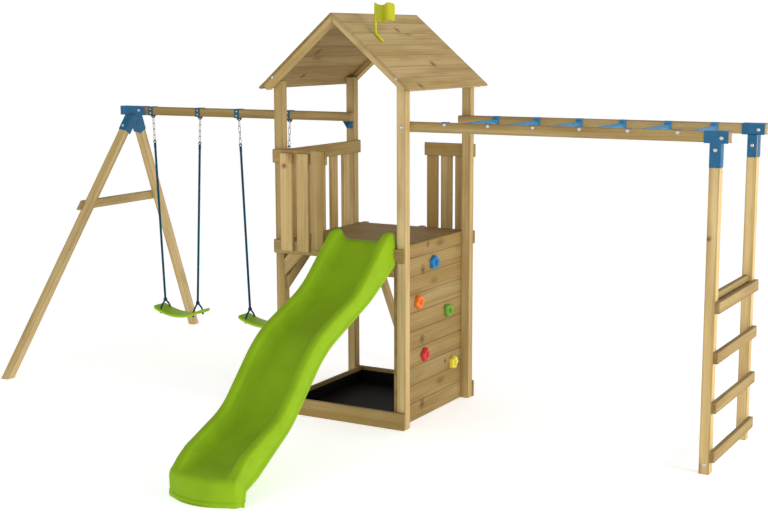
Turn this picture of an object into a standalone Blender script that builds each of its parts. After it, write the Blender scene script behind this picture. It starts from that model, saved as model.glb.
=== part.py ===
"""Timber play tower with a gable roof, slide, climbing wall, sandbox, monkey bars and two swings.

The tower stands over its own centre. +X runs to the monkey bars, +Y away from the slide, +Z up.
The root empty moves the whole to the middle of its footprint at the end.
"""

import math

import bmesh
import bpy
from mathutils import Matrix, Vector

# Clearances
GAP = 0.0003                # between pieces that touch
LAP = 0.001                 # depth of a lap inside one piece
WOBBLE = 0.0006             # between a folded sleeve and its timber

# Timber sections
POST = 0.063                # square posts, beams, rails and legs
BOARD_T = 0.021             # cladding and fascia boards
BOARD_W = 0.091
SLAT_W = 0.089              # balusters of the left side
RUNG_T = 0.028              # ladder rungs and the brace between the swing legs
RUNG_W = 0.070
BRACE_W = 0.080
JOIST_W = 0.038
RAFTER_D = 0.038
ROOF_T = 0.015
WALL_T = 0.022
SAND_H = 0.115
EASE = 0.003                # eased edges
GROOVE = 0.0025             # half width of the seam between two boards

# Tower
TOWER_X = 1.000             # over the posts
TOWER_Y = 0.990
DECK_Z = 1.200
GUARD_H = 0.609             # guard rail top above the deck
RAIL_RISE = 0.749           # deck to the underside of the swing beam and the monkey rails
RIDGE_RISE = 1.5105         # deck to the ridge
DECK_BOARDS = 10
DECK_SLIT = 0.005
DECK_INSET = 0.002          # joists and ledger stop short of the boards' edges
JOIST_AT = (-0.150, 0.120)   # middles of the two inner joists, shares of the width
JOIST_CLEAR = 0.0107         # third joist to the inner face of the climbing wall
SKIRT = 0.005               # run of the end boards past a post

# Guards
SLAT_DROP = 0.070           # slats run down past the deck by this
SLAT_HEAD = 0.020           # slat tops under the top of their rail
SLIDE_WAY = 0.583           # free width beside the front guard
FRONT_SLATS = (0.163, 0.471, 0.745)     # left edges, shares of the front panel
FRONT_SLAT_W = 0.2266       # share of the front panel
LAST_SLAT_UP = 0.022        # the slat beside the slide is set higher than the others
BACK_GUARD = 0.391          # width of the back panel
BACK_EDGE = 0.009           # its end to the first slat
BACK_PITCH = 0.1125
BACK_SLAT_W = 0.087
BACK_SLAT_UP = 0.012        # its slats end higher than the front ones
LEFT_SLATS = 5
LEFT_PLAY = 0.049           # spare width shared out at the ends of the left panel

# Braces under the deck
FRONT_BRACE_DROP = 0.250    # deck to the brace's foot
FRONT_BRACE_TILT = math.radians(46)
LEFT_BRACE_DROP = 0.344
LEFT_BRACE_TILT = math.radians(34.5)

# Roof
ROOF_PITCH = math.radians(40.515)
EAVE_OUT = 0.074            # ridge boards past the posts at the eaves, level
ROOF_OVER = 0.005           # past the rafters, front and back
ROOF_BOARDS = 7
RAFTER_SHORT = 0.0335       # rafter ends before the eave

# Climbing wall
WALL_BOARDS = 9             # under the top board
HOLD_R = 0.043
HOLD_D = 0.036
HOLD_RINGS = ((1.00, 0.0), (1.00, 0.25), (0.93, 0.55), (0.74, 0.86), (0.50, 1.0), (0.30, 0.94), (0.24, 0.55))
HOLDS = (                   # share of the half depth, share of the deck height, lobes, turn
    ("hold_blue", 0.004, 0.869, 5, 0.2),
    ("hold_orange", -0.432, 0.671, 4, 0.9),
    ("hold_green", 0.430, 0.565, 3, 0.4),
    ("hold_red", -0.253, 0.358, 4, 2.1),
    ("hold_yellow", 0.592, 0.241, 5, 1.3),
)

# Sandbox
LINER_DROP = 0.027          # liner rim under the boards' top
LINER_T = 0.004
LINER_WALL = 0.003

# Slide
SLIDE_ROOM = 0.0515         # side of the slide to the middle of the gap's post
SLIDE_OFF = 0.010           # slide off the middle of its gap, to the right
FOOT_FLARE = 0.010          # the foot is wider than the top, each side
CREST_OUT = 0.072           # hem to the inner face of a side wall
BED_EASE = 0.074            # inner face of a side wall to the flat bed
CREST_R = 0.027
SLIDE_REACH = 1.830         # lip corner to the foot, level
SLIDE_WALL = 0.085
SLIDE_T = 0.0042
LIP_H = 0.032               # bed above the deck
NOSE_BOW = 0.045
BED_LINE = (                # share of the reach, share of the drop, radius of the bend
    (0.1861, 0.2512, 0.80), (0.4625, 0.4292, 0.70), (0.6655, 0.7411, 0.55),
    (0.866, 0.8474, 0.30), (0.977, 0.884, 0.045), (1.0, 1.020, 0),
)
HEM_LINE = (
    (0.1667, 0.2573, 0.80), (0.4617, 0.4400, 0.70), (0.6694, 0.7403, 0.55),
    (0.866, 0.8990, 0.20), (0.934, 0.931, 0.020), (0.950, 1.020, 0),
)
WALL_LINE = (0, 0, 0.80, 0.88, 1.0, 1.0, 0.88, 0, 0)    # wall height at each bend of the bed

# Swing frame
BEAM_RUN = 2.060            # beam past the tower
FRAME_IN = 0.105            # beam end to where the leg axes cross it
FOOT_OUT = 0.355            # lean of the frame
FOOT_SPREAD = 1.145
TIE_DROP = 0.729            # beam's middle to the brace's middle
TIE_PAST = 0.022            # brace past the legs
SHEET = 0.003               # folded steel
SLEEVE_X = 0.243
SLEEVE_PAST = 0.008         # sleeve past the beam's end
SOCKET_L = 0.190
BEAM_SEAT = 0.006           # beam end past the inner face of the post
SHOE_W = 0.050
SHOE_DROP = 0.055
SHOE_REACH = 0.058
SHOE_IN = 0.004             # tower face to the shoe

# Swings
SWING_RUN = (1.534, 0.7035)     # tower face to the middle of each swing
HOOK_HALF = 0.2305
KNOT_HALF = 0.1625
SEAT_L = 0.450
SEAT_W = 0.163
SEAT_T = 0.018
SEAT_SAG = 0.052
SEAT_Z = 0.362              # underside at the middle
KNOT_RISE = 0.068           # knot above the seat at the ropes
STRAP_W = 0.045
STRAP_T = 0.003
BAIL_R = 0.012
BAIL_D = 0.006
BAIL_DROP = 0.0087          # strap to the head of the bail's loop
LINK_D = 0.005
LINK_W = 0.016              # between wire centres
LINK_L = 0.050
LINKS = 4
ROPE_D = 0.018
LEG_D = 0.010
EYE_D = 0.008
EYE_R = 0.013
LEG_Y = 0.062               # rope holes from the seat's middle line
HOLE_D = 0.012
KNOT_R = 0.0165
LEG_KNOT_R = 0.010

# Monkey bars
FIRST_BAR = 0.227           # tower face to the first bar
BAR_PITCH = 0.300
BARS = 6
POST_PAST = 0.207           # last bar to the inner face of the end posts
RAIL_PAST = 0.044           # rails past the end posts
BAR_R = 0.015
FLARE_R = 0.021
PLATE_W = 0.048
PLATE_H = 0.060
PLATE_HOOK = 0.026          # run of a plate over its rail
STEP_Z = 0.2965
LOW_STEP = 0.146
STEPS = 4
SPREADER_UP = 0.034         # spreader over the top step
SPREADER_IN = 0.012         # its face behind the posts' inner face
TEE_WING = 0.035            # tee past the post, towards the tower
TEE_FOOT = 0.143            # tee down the post
TEE_NECK = 0.004
TEE_WRAP = 0.008            # flange short of the post's inner face

# Back ladder
LADDER_IN = 0.020           # left stringer from the post
LADDER_OFF = 0.029          # right stringer from the back guard
LADDER_TILT = math.radians(30)
LADDER_STEPS = (0.1217, 0.3688, 0.6159, 0.8630)     # shares of the deck height

# Flag
POLE_R = 0.008
POLE_H = 0.200
POLE_X = 0.176              # ridge to the pole
POLE_AT = -0.636            # share of the half depth
POLE_FOOT = 0.074           # bent foot down the roof
FLAG_L = 0.140
FLAG_H = 0.116
FLAG_T = 0.004

# Derived planes
HX = TOWER_X / 2
HY = TOWER_Y / 2
IX = HX - POST
IY = HY - POST
FACE_Y = HY + GAP                       # inner face of front and back boards
SLAT_Y = FACE_Y + BOARD_T + GAP         # inner face of front and back slats
GUARD_Z = DECK_Z + GUARD_H
RAIL_Z = DECK_Z + RAIL_RISE
RAIL_TOP = RAIL_Z + POST
RAIL_MID = RAIL_Z + POST / 2
RIDGE_Z = DECK_Z + RIDGE_RISE
ROOF_HALF = HX + EAVE_OUT
ROOF_LENGTH = ROOF_HALF / math.cos(ROOF_PITCH)
WALL_IN_X = IX - GAP - WALL_T
SLIDE_HALF = SLIDE_WAY / 2 - SLIDE_ROOM
FOOT_HALF = SLIDE_HALF + FOOT_FLARE
WALL_IN = SLIDE_HALF - CREST_OUT
BED_HALF = WALL_IN - BED_EASE
SLIDE_X = HX - (SLIDE_WAY + POST) / 2 + SLIDE_OFF
BEAM_Y = IY - GAP - POST / 2
BEAM_END = -HX - BEAM_RUN
FRAME_X = BEAM_END + FRAME_IN
LEAN = math.atan2(FOOT_OUT, RAIL_MID)
BARS_POST = HX + FIRST_BAR + (BARS - 1) * BAR_PITCH + POST_PAST
BARS_END = BARS_POST + POST + RAIL_PAST
BARS_Y = IY - GAP - POST                # inner faces of the monkey rails

LOOKS = {
    "wood": ((0.62, 0.42, 0.20), 0.70, 0.0),
    "lime": ((0.34, 0.60, 0.03), 0.38, 0.0),
    "blue": ((0.02, 0.13, 0.30), 0.42, 0.2),
    "zinc": ((0.66, 0.67, 0.68), 0.30, 1.0),
    "rope": ((0.01, 0.08, 0.16), 0.75, 0.0),
    "liner": ((0.012, 0.012, 0.014), 0.55, 0.0),
    "flag": ((0.62, 0.60, 0.02), 0.45, 0.0),
    "hold_blue": ((0.01, 0.24, 0.62), 0.45, 0.0),
    "hold_orange": ((0.90, 0.25, 0.02), 0.45, 0.0),
    "hold_green": ((0.16, 0.50, 0.06), 0.45, 0.0),
    "hold_red": ((0.80, 0.05, 0.06), 0.45, 0.0),
    "hold_yellow": ((0.88, 0.72, 0.04), 0.45, 0.0),
}


def clear_scene():
    for old in list(bpy.data.objects):
        bpy.data.objects.remove(old, do_unlink=True)


def material(name, look):
    colour, roughness, metallic = LOOKS[look]
    made = bpy.data.materials.new(name)
    made.use_nodes = True
    shader = made.node_tree.nodes["Principled BSDF"]
    shader.inputs["Base Color"].default_value = (*colour, 1.0)
    shader.inputs["Roughness"].default_value = roughness
    shader.inputs["Metallic"].default_value = metallic
    made.diffuse_color = (*colour, 1.0)
    return made


def empty(name, location, parent=None):
    made = bpy.data.objects.new(name, None)
    made.empty_display_size = 0.1
    made.location = location
    made.parent = parent
    bpy.context.scene.collection.objects.link(made)
    return made


def solid(name, bm, look, parent, origin=None, smooth=None):
    """The object of a finished mesh, drawn in the tower's frame and hung from its own origin."""
    bmesh.ops.remove_doubles(bm, verts=bm.verts, dist=1e-6)
    bmesh.ops.recalc_face_normals(bm, faces=bm.faces)
    if origin is None:
        xs, ys, zs = zip(*(v.co for v in bm.verts))
        origin = Vector([(min(a) + max(a)) / 2 for a in (xs, ys, zs)])
    origin = Vector(origin)
    bmesh.ops.translate(bm, verts=bm.verts, vec=-origin)
    mesh = bpy.data.meshes.new(name)
    bm.to_mesh(mesh)
    bm.free()
    if smooth:
        mesh.shade_smooth()
        mesh.set_sharp_from_angle(angle=math.radians(smooth))
    made = bpy.data.objects.new(name, mesh)
    made.parent = parent
    base = parent.location if parent and parent.parent else Vector()
    made.location = origin - base
    bpy.context.scene.collection.objects.link(made)
    mesh.materials.append(material(name, look))
    return made


def helper(name, bm, parent, collection):
    """A guide that a Boolean reads and the model leaves out."""
    made = solid(name, bm, "wood", parent)
    bpy.context.scene.collection.objects.unlink(made)
    collection.objects.link(made)
    made.hide_render = True
    made.display_type = "WIRE"
    return made


def combine(obj, operation, pieces):
    """Joins or cuts the pieces, each a mesh of its own, with one exact Boolean."""
    title = f"{obj.name}_{operation.lower()}"
    collection = bpy.data.collections.new(title)
    bpy.context.scene.collection.children.link(collection)
    for index, bm in enumerate(pieces):
        helper(f"{title}_{index}", bm, obj.parent, collection)
    modifier = obj.modifiers.new(operation.capitalize(), "BOOLEAN")
    modifier.operation = operation
    modifier.operand_type = "COLLECTION"
    modifier.collection = collection
    modifier.solver = "EXACT"
    return obj


def timber(low, high, ease=EASE):
    """A board between two corners with eased edges."""
    bm = bmesh.new()
    verts = bmesh.ops.create_cube(bm, size=1)["verts"]
    for v in verts:
        v.co = Vector([(a + b) / 2 + c * (b - a) for a, b, c in zip(low, high, v.co)])
    if ease:
        bmesh.ops.bevel(bm, geom=list(bm.edges), offset=ease, segments=1, affect="EDGES")
    return bm


def prism(outline, run):
    """A flat outline of 3D points drawn out along a vector."""
    bm = bmesh.new()
    face = bm.faces.new([bm.verts.new(p) for p in outline])
    made = bmesh.ops.extrude_face_region(bm, geom=[face])
    moved = [v for v in made["geom"] if isinstance(v, bmesh.types.BMVert)]
    bmesh.ops.translate(bm, verts=moved, vec=Vector(run))
    bmesh.ops.recalc_face_normals(bm, faces=bm.faces)
    return bm


def ease_edges(bm, ease=EASE, corner=45):
    sharp = [e for e in bm.edges if e.calc_face_angle(0) > math.radians(corner)]
    bmesh.ops.bevel(bm, geom=sharp, offset=ease, segments=1, affect="EDGES")
    return bm


def slice_off(bm, point, normal):
    """Cuts away what lies on the normal's side of a plane and closes the cut."""
    geom = list(bm.verts) + list(bm.edges) + list(bm.faces)
    bmesh.ops.bisect_plane(bm, geom=geom, plane_co=point, plane_no=normal, clear_outer=True)
    bmesh.ops.holes_fill(bm, edges=[e for e in bm.edges if e.is_boundary], sides=0)
    return bm


def skin(rings, closed=True, caps=True):
    """A surface through rings of points, capped at both ends."""
    bm = bmesh.new()
    rows = [[bm.verts.new(p) for p in ring] for ring in rings]
    count = len(rows[0])
    for low, high in zip(rows, rows[1:]):
        for i in range(count if closed else count - 1):
            j = (i + 1) % count
            bm.faces.new((low[i], low[j], high[j], high[i]))
    if caps:
        bm.faces.new(rows[0])
        bm.faces.new(rows[-1])
    bmesh.ops.recalc_face_normals(bm, faces=bm.faces)
    return bm


def frame_along(direction):
    """Two unit vectors square to a direction."""
    side = Vector((1, 0, 0)) if abs(direction.x) < 0.9 else Vector((0, 1, 0))
    first = direction.cross(side).normalized()
    return first, direction.cross(first).normalized()


def rod(points, radii, sides=12):
    """A round bar through points, with a radius at each."""
    rings = []
    points = [Vector(p) for p in points]
    for i, point in enumerate(points):
        ahead = points[min(i + 1, len(points) - 1)] - points[max(i - 1, 0)]
        if i == 0:
            first, second = frame_along(ahead.normalized())
        else:
            first = (first - ahead.normalized() * first.dot(ahead.normalized())).normalized()
            second = ahead.normalized().cross(first)
        turn = [2 * math.pi * k / sides for k in range(sides)]
        rings.append([point + radii[i] * (first * math.cos(a) + second * math.sin(a)) for a in turn])
    return skin(rings)


def torus(centre, across, down, half_w, half_l, wire, steps=12, sides=5):
    """A closed link: two half circles joined by straight legs."""
    centre = Vector(centre)
    across, down = Vector(across).normalized(), Vector(down).normalized()
    out = across.cross(down)
    straight = max(half_l - half_w, 0)
    rings = []
    for k in range(steps):
        a = 2 * math.pi * (k + 0.5) / steps
        lift = math.copysign(straight, math.sin(a))
        point = centre + across * half_w * math.cos(a) + down * (half_w * math.sin(a) + lift)
        radial = across * math.cos(a) + down * math.sin(a)
        turn = [2 * math.pi * j / sides for j in range(sides)]
        rings.append([point + wire / 2 * (radial * math.cos(b) + out * math.sin(b)) for b in turn])
    return skin(rings + rings[:1], caps=False)


def ball(centre, radius, squash=1.0, steps=6):
    rings = []
    for i in range(1, steps):
        a = math.pi * i / steps
        level = centre[2] + radius * squash * math.cos(a)
        turn = [2 * math.pi * k / 8 for k in range(8)]
        rings.append([Vector((centre[0] + radius * math.sin(a) * math.cos(b),
                              centre[1] + radius * math.sin(a) * math.sin(b), level)) for b in turn])
    return skin(rings)


def fused(name, pieces, look, parent, origin=None, smooth=None):
    """One body from overlapping pieces."""
    obj = solid(name, pieces[0], look, parent, origin, smooth)
    return combine(obj, "UNION", pieces[1:])


def seamed_profile(length, thick, seams):
    """Outline of boards edge to edge, along and across, with a V groove at each seam on both faces."""
    top = [(0.0, thick)]
    low = [(0.0, 0.0)]
    for seam in seams:
        for side, out, inward in ((top, thick, thick - GROOVE), (low, 0.0, GROOVE)):
            side += [(seam - GROOVE, out), (seam, inward), (seam + GROOVE, out)]
    top.append((length, thick))
    low.append((length, 0.0))
    return top + low[::-1]


def build_posts(root):
    top = RIDGE_Z - math.tan(ROOF_PITCH) * HX - ROOF_T / math.cos(ROOF_PITCH) - GAP
    for side_x, name_x in ((-1, "left"), (1, "right")):
        for side_y, name_y in ((-1, "front"), (1, "back")):
            xs = sorted((side_x * IX, side_x * HX))
            ys = sorted((side_y * IY, side_y * HY))
            bm = timber((xs[0], ys[0], 0), (xs[1], ys[1], top))
            solid(f"post_{name_y}_{name_x}", bm, "wood", root)


def build_deck(root):
    left = -IX + LAP + GAP
    right = WALL_IN_X - GAP
    low = DECK_Z - BOARD_W
    pitch = (2 * HY - DECK_SLIT * (DECK_BOARDS - 1)) / DECK_BOARDS + DECK_SLIT
    short = HY - DECK_INSET
    last = WALL_IN_X - JOIST_CLEAR - JOIST_W / 2
    ledger = timber((left, -short, low), (left + BOARD_T, short, DECK_Z - BOARD_T + LAP), 0)
    joists = [
        timber((x - JOIST_W / 2, -short, DECK_Z - BOARD_T - POST),
               (x + JOIST_W / 2, short, DECK_Z - BOARD_T + LAP), 0)
        for x in [share * TOWER_X for share in JOIST_AT] + [last]
    ]
    boards = []
    for k in range(DECK_BOARDS):
        start = -HY + k * pitch
        end = start + pitch - DECK_SLIT
        boards.append(timber((left + DECK_INSET, start, DECK_Z - BOARD_T), (right, end, DECK_Z), 0))
    fused("deck", [ledger] + joists + boards, "wood", root)
    for sign, name in ((-1, "front"), (1, "back")):
        ys = sorted((sign * FACE_Y, sign * (FACE_Y + BOARD_T)))
        xs = (-HX - SKIRT, HX) if sign < 0 else (-HX, HX + SKIRT)
        bm = timber((xs[0], ys[0], low), (xs[1], ys[1], DECK_Z))
        solid(f"fascia_{name}", bm, "wood", root)


def guard(name, sign, rail, slats, root):
    """A rail on the posts with slats on its outer face, front (-1) or back (1)."""
    def at(a, b):
        return sorted((sign * a, sign * b))

    inner, outer = at(FACE_Y, SLAT_Y + LAP)
    pieces = [timber((rail[0], inner, GUARD_Z - BOARD_W), (rail[1], outer, GUARD_Z))]
    for start, end, top, bottom in slats:
        inner, outer = at(SLAT_Y, SLAT_Y + BOARD_T)
        pieces.append(timber((start, inner, bottom), (end, outer, top)))
    fused(name, pieces, "wood", root)


def build_guards(root):
    low = DECK_Z - SLAT_DROP
    slat_top = GUARD_Z - SLAT_HEAD
    panel = TOWER_X - SLIDE_WAY
    front = []
    for share in FRONT_SLATS:
        start = -HX + share * panel
        up = LAST_SLAT_UP if share == FRONT_SLATS[-1] else 0
        front.append((start, start + FRONT_SLAT_W * panel, slat_top + up, low + up))
    guard("guard_front", -1, (-HX - SKIRT, -HX + panel), front, root)
    start = HX - BACK_GUARD
    back = []
    for k in range(3):
        edge = start + BACK_EDGE + k * BACK_PITCH
        back.append((edge, edge + BACK_SLAT_W, slat_top, low + BACK_SLAT_UP))
    guard("guard_back", 1, (start, HX + SKIRT), back, root)
    rail = timber((-IX + GAP, -HY, GUARD_Z - BOARD_W), (-IX + GAP + BOARD_T, HY, GUARD_Z))
    pitch = (2 * IY - LEFT_PLAY) / LEFT_SLATS
    slats = []
    for k in range(LEFT_SLATS):
        middle = (k - (LEFT_SLATS - 1) / 2) * pitch
        slats.append(timber((-IX + LAP - BOARD_T, middle - SLAT_W / 2, low),
                            (-IX + LAP, middle + SLAT_W / 2, slat_top)))
    fused("guard_left", [rail] + slats, "wood", root)


def brace_outline(start, drop, tilt, head):
    """Corners of a raking brace, along and up: plumb at its foot, level at its head."""
    rise = math.tan(tilt)
    tall = BRACE_W / math.cos(tilt)
    low = DECK_Z - drop
    return [(start, low), (start + (head - low) / rise, head),
            (start + (head - low - tall) / rise, head), (start, low + tall)]


def build_braces(root):
    outline = brace_outline(-IX + GAP, FRONT_BRACE_DROP, FRONT_BRACE_TILT, DECK_Z - BOARD_T - GAP)
    bm = prism([(x, -HY, z) for x, z in outline], (0, BOARD_T, 0))
    solid("brace_front", ease_edges(bm), "wood", root)
    outline = brace_outline(-HY + BOARD_T + GAP, LEFT_BRACE_DROP, LEFT_BRACE_TILT, DECK_Z - BOARD_W - GAP)
    bm = prism([(-IX + GAP, y, z) for y, z in outline], (BOARD_T, 0, 0))
    solid("brace_left", ease_edges(bm), "wood", root)


def build_roof(root):
    down = Vector((math.cos(ROOF_PITCH), -math.sin(ROOF_PITCH)))
    out = Vector((math.sin(ROOF_PITCH), math.cos(ROOF_PITCH)))
    seams = [ROOF_LENGTH * k / ROOF_BOARDS for k in range(1, ROOF_BOARDS)]
    ridge = Vector((0, RIDGE_Z))
    mitre = ROOF_T * math.tan(ROOF_PITCH)
    verge = FACE_Y + POST + ROOF_OVER
    under = ROOF_T + GAP
    for sign, name in ((-1, "left"), (1, "right")):
        outline = []
        for s, h in seamed_profile(ROOF_LENGTH, ROOF_T, seams):
            if s == 0:
                s = 0 if h else mitre
                s += GAP
            point = ridge + down * s + out * (h - ROOF_T)
            outline.append((sign * point.x, -verge, point.y))
        solid(f"roof_{name}", prism(outline, (0, 2 * verge, 0)), "wood", root)
    for y, name in ((-FACE_Y - POST, "front"), (FACE_Y, "back")):
        right = []
        for h in (-under, -under - RAFTER_D):
            point = ridge + down * (ROOF_LENGTH - RAFTER_SHORT) + out * h
            right.append((point.x, point.y))
        top = RIDGE_Z - under / math.cos(ROOF_PITCH)
        low = top - RAFTER_D / math.cos(ROOF_PITCH)
        outline = [(0, top), *right, (0, low)] + [(-x, z) for x, z in reversed(right)]
        bm = prism([(x, y, z) for x, z in outline], (0, POST, 0))
        solid(f"rafters_{name}", ease_edges(bm, corner=60), "wood", root)


def build_wall(root):
    field = (DECK_Z - BOARD_W) / WALL_BOARDS
    seams = [field * k for k in range(1, WALL_BOARDS + 1)]
    outline = [(WALL_IN_X + h, -HY, s) for s, h in seamed_profile(DECK_Z, WALL_T, seams)]
    solid("climbing_wall", prism(outline, (0, 2 * HY, 0)), "wood", root)
    for name, across, height, lobes, turn in HOLDS:
        place = Vector((IX, across * HY, height * DECK_Z))
        solid(name, climbing_hold(lobes, turn, place), name, root, place, 40)


def climbing_hold(lobes, turn, place, sides=16):
    """A lobed grip: foot, belly, crown, and the dished seat of its bolt."""
    rings = []
    for part, level in HOLD_RINGS:
        ring = []
        for k in range(sides):
            a = 2 * math.pi * k / sides
            swell = 1 + 0.09 * math.sin(lobes * a + turn) * min(part * 1.3, 1)
            radius = HOLD_R * part * swell
            lift = HOLD_D * level * (1 + 0.12 * math.cos(a - turn) * part)
            ring.append(place + Vector((lift, radius * math.cos(a), radius * math.sin(a))))
        rings.append(ring)
    return skin(rings)


def build_sandbox(root):
    for sign, name in ((-1, "front"), (1, "back")):
        ys = sorted((sign * FACE_Y, sign * (FACE_Y + BOARD_T)))
        xs = (-HX - SKIRT, HX) if sign < 0 else (-HX, HX + SKIRT)
        solid(f"sandbox_{name}", timber((xs[0], ys[0], 0), (xs[1], ys[1], SAND_H)), "wood", root)
    bm = timber((-IX + GAP, -HY, 0), (-IX + GAP + BOARD_T, HY, SAND_H))
    solid("sandbox_left", bm, "wood", root)
    low = (-IX + 2 * GAP + BOARD_T, -HY, 0)
    high = (WALL_IN_X - GAP, HY, SAND_H - LINER_DROP)
    bm = timber(low, high, 0)
    top = max(bm.faces, key=lambda f: f.calc_center_median().z)
    bmesh.ops.inset_region(bm, faces=[top], thickness=LINER_WALL)
    bmesh.ops.translate(bm, verts=top.verts, vec=(0, 0, LINER_T - high[2]))
    solid("sandbox_liner", bm, "liner", root)


def build_back_ladder(root):
    """Two raking stringers with rungs lapped on their upper faces."""
    top_y = FACE_Y + BOARD_T + GAP
    slope = math.tan(LADDER_TILT)
    deep = POST / math.cos(LADDER_TILT)
    start = HY + SKIRT
    foot = start + slope * DECK_Z
    left, right = -IX + LADDER_IN, HX - BACK_GUARD - LADDER_OFF
    pieces = []
    for low, high in ((left, left + JOIST_W), (right - JOIST_W, right)):
        outline = [(top_y, DECK_Z), (start + deep, DECK_Z), (foot + deep, 0), (foot, 0),
                   (top_y, DECK_Z - (top_y - start) / slope)]
        bm = prism([(low, y, z) for y, z in outline], (high - low, 0, 0))
        pieces.append(ease_edges(bm, corner=70))
    along = Vector((0, math.sin(LADDER_TILT), -math.cos(LADDER_TILT)))
    up = Vector((0, math.cos(LADDER_TILT), math.sin(LADDER_TILT)))
    for share in LADDER_STEPS:
        z = share * DECK_Z
        point = Vector((0, start + slope * (DECK_Z - z), z)) + up * (POST - LAP)
        corners = [point + along * a + up * b for a, b in
                   ((-RUNG_W / 2, 0), (RUNG_W / 2, 0), (RUNG_W / 2, RUNG_T), (-RUNG_W / 2, RUNG_T))]
        bm = prism([(left, c.y, c.z) for c in corners], (right - left, 0, 0))
        pieces.append(ease_edges(bm))
    fused("back_ladder", pieces, "wood", root)


def eased(values, t):
    """Value at t along a list, with a cosine ease between its entries."""
    i = min(int(t), len(values) - 2)
    f = (1 - math.cos(math.pi * (t - i))) / 2
    return values[i] * (1 - f) + values[i + 1] * f


def rail(corners, arc, fill):
    """(station, point) along a line of (y, z, radius) corners, each corner turned by an arc."""
    made = []
    for i, (y, z, radius) in enumerate(corners):
        here = Vector((y, z))
        if i in (0, len(corners) - 1):
            made.append((float(i), here))
            continue
        back = Vector(corners[i - 1][:2]) - here
        on = Vector(corners[i + 1][:2]) - here
        turn = math.pi - back.angle(on)
        reach = max(radius * math.tan(turn / 2), 0.012)
        reach = min(reach, 0.45 * back.length, 0.45 * on.length)
        a, b = here + back.normalized() * reach, here + on.normalized() * reach
        for k in range(arc + 1):
            s = k / arc
            made.append((i + 0.36 * (s - 0.5), a * (1 - s) ** 2 + here * 2 * s * (1 - s) + b * s * s))
    full = []
    for (t0, p0), (t1, p1) in zip(made, made[1:]):
        steps = fill if t1 - t0 > 0.3 else 1
        full += [(t0 + (t1 - t0) * k / steps, p0.lerp(p1, k / steps)) for k in range(steps)]
    return full + [made[-1]]


def slide_rails():
    """The bed line and the hem line down the slide, bend by bend."""
    lip = -(SLAT_Y - 0.0016)
    head = DECK_Z + LIP_H

    def spots(line):
        return [(lip - reach * SLIDE_REACH, head * (1 - drop), bend) for reach, drop, bend in line]

    bed = [(lip + 0.068, head - 0.060, 0), (lip + 0.065, head, 0.020), (lip, head, 0.050)]
    hem = [(lip + 0.110, head - 0.108, 0), (lip + 0.072, head - 0.112, 0), (lip + 0.012, head - 0.130, 0)]
    return bed + spots(BED_LINE), hem + spots(HEM_LINE)


def slide_section():
    """(x, share of the wall height) from the middle of the bed to the outside of the crest."""
    half = [(0, 0), (BED_HALF, 0)]
    for a in (22, 44, 66, 84):
        a = math.radians(a)
        half.append((BED_HALF + (WALL_IN - BED_HALF) * math.sin(a), 0.82 * (1 - math.cos(a))))
    for a in (150, 110, 70, 30):
        a = math.radians(a)
        half.append((WALL_IN + CREST_R * (1 + math.cos(a)), 0.82 + 0.18 * math.sin(a)))
    return half


def build_slide(root):
    """A moulded chute: one skin along two rails, given its wall and trimmed to the deck and the ground."""
    bed, hem = slide_rails()
    section = slide_section()
    stations = rail(bed, 3, 2)
    hems = rail(hem, 3, 2)
    rows = []
    for i, ((t, point), (_, low)) in enumerate(zip(stations, hems)):
        ahead = stations[min(i + 1, len(stations) - 1)][1] - stations[max(i - 1, 0)][1]
        up = Vector((ahead.y, -ahead.x)).normalized()
        height = SLIDE_WALL * eased(WALL_LINE, t)
        if t < 2:
            f = min(max((t - 1.17) / 0.66, 0), 1)
            height = SLIDE_WALL * WALL_LINE[2] * math.sqrt(max(1 - (1 - f) ** 2, 0))
        bow = NOSE_BOW * max(t - 6.5, 0) / 1.5
        wide = eased((SLIDE_HALF, SLIDE_HALF, FOOT_HALF, FOOT_HALF), min(max(t - 4, 0), 2.9))
        half = []
        for x, share in section:
            spot = point + up * height * share
            half.append(Vector((x, spot.x + bow * (x / WALL_IN) ** 2, spot.y)))
        crest = half[-1]
        end = Vector((wide, low.x + bow * 0.4, low.y))
        half += [crest.lerp(end, 0.45) + Vector((0.004, 0, 0)), end]
        mirrored = [Vector((-p.x, p.y, p.z)) for p in half[:0:-1]]
        rows.append([p + Vector((SLIDE_X, 0, 0)) for p in mirrored + half])
    bm = skin(rows, closed=False, caps=False)
    middle = min(bm.faces, key=lambda f: (f.calc_center_median() - Vector((SLIDE_X, -1.0, 0.8))).length)
    if middle.normal.z < 0:
        bmesh.ops.reverse_faces(bm, faces=bm.faces)
    mesh = bpy.data.meshes.new("slide")
    bm.to_mesh(mesh)
    bm.free()
    mesh.shade_smooth()
    mesh.set_sharp_from_angle(angle=math.radians(50))
    obj = bpy.data.objects.new("slide", mesh)
    obj.parent = root
    bpy.context.scene.collection.objects.link(obj)
    mesh.materials.append(material("slide", "lime"))
    shell = obj.modifiers.new("Wall", "SOLIDIFY")
    shell.thickness = SLIDE_T
    shell.offset = -1
    wide = SLIDE_HALF + 0.1
    tower = timber((SLIDE_X - wide, -SLAT_Y, 0.5 * DECK_Z), (SLIDE_X + wide, 0, DECK_Z + GAP), 0)
    ground = timber((SLIDE_X - wide, -SLIDE_REACH - 1.5, -0.5), (SLIDE_X + wide, 0, 0), 0)
    combine(obj, "DIFFERENCE", [tower, ground])


def lean_axes():
    """Unit vectors of the leg frame: along the beam line's square, down the lean, and out of the frame."""
    across = Vector((0, 1, 0))
    down = Vector((-math.sin(LEAN), 0, -math.cos(LEAN)))
    out = Vector((-math.cos(LEAN), 0, math.sin(LEAN)))
    return across, down, out


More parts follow.
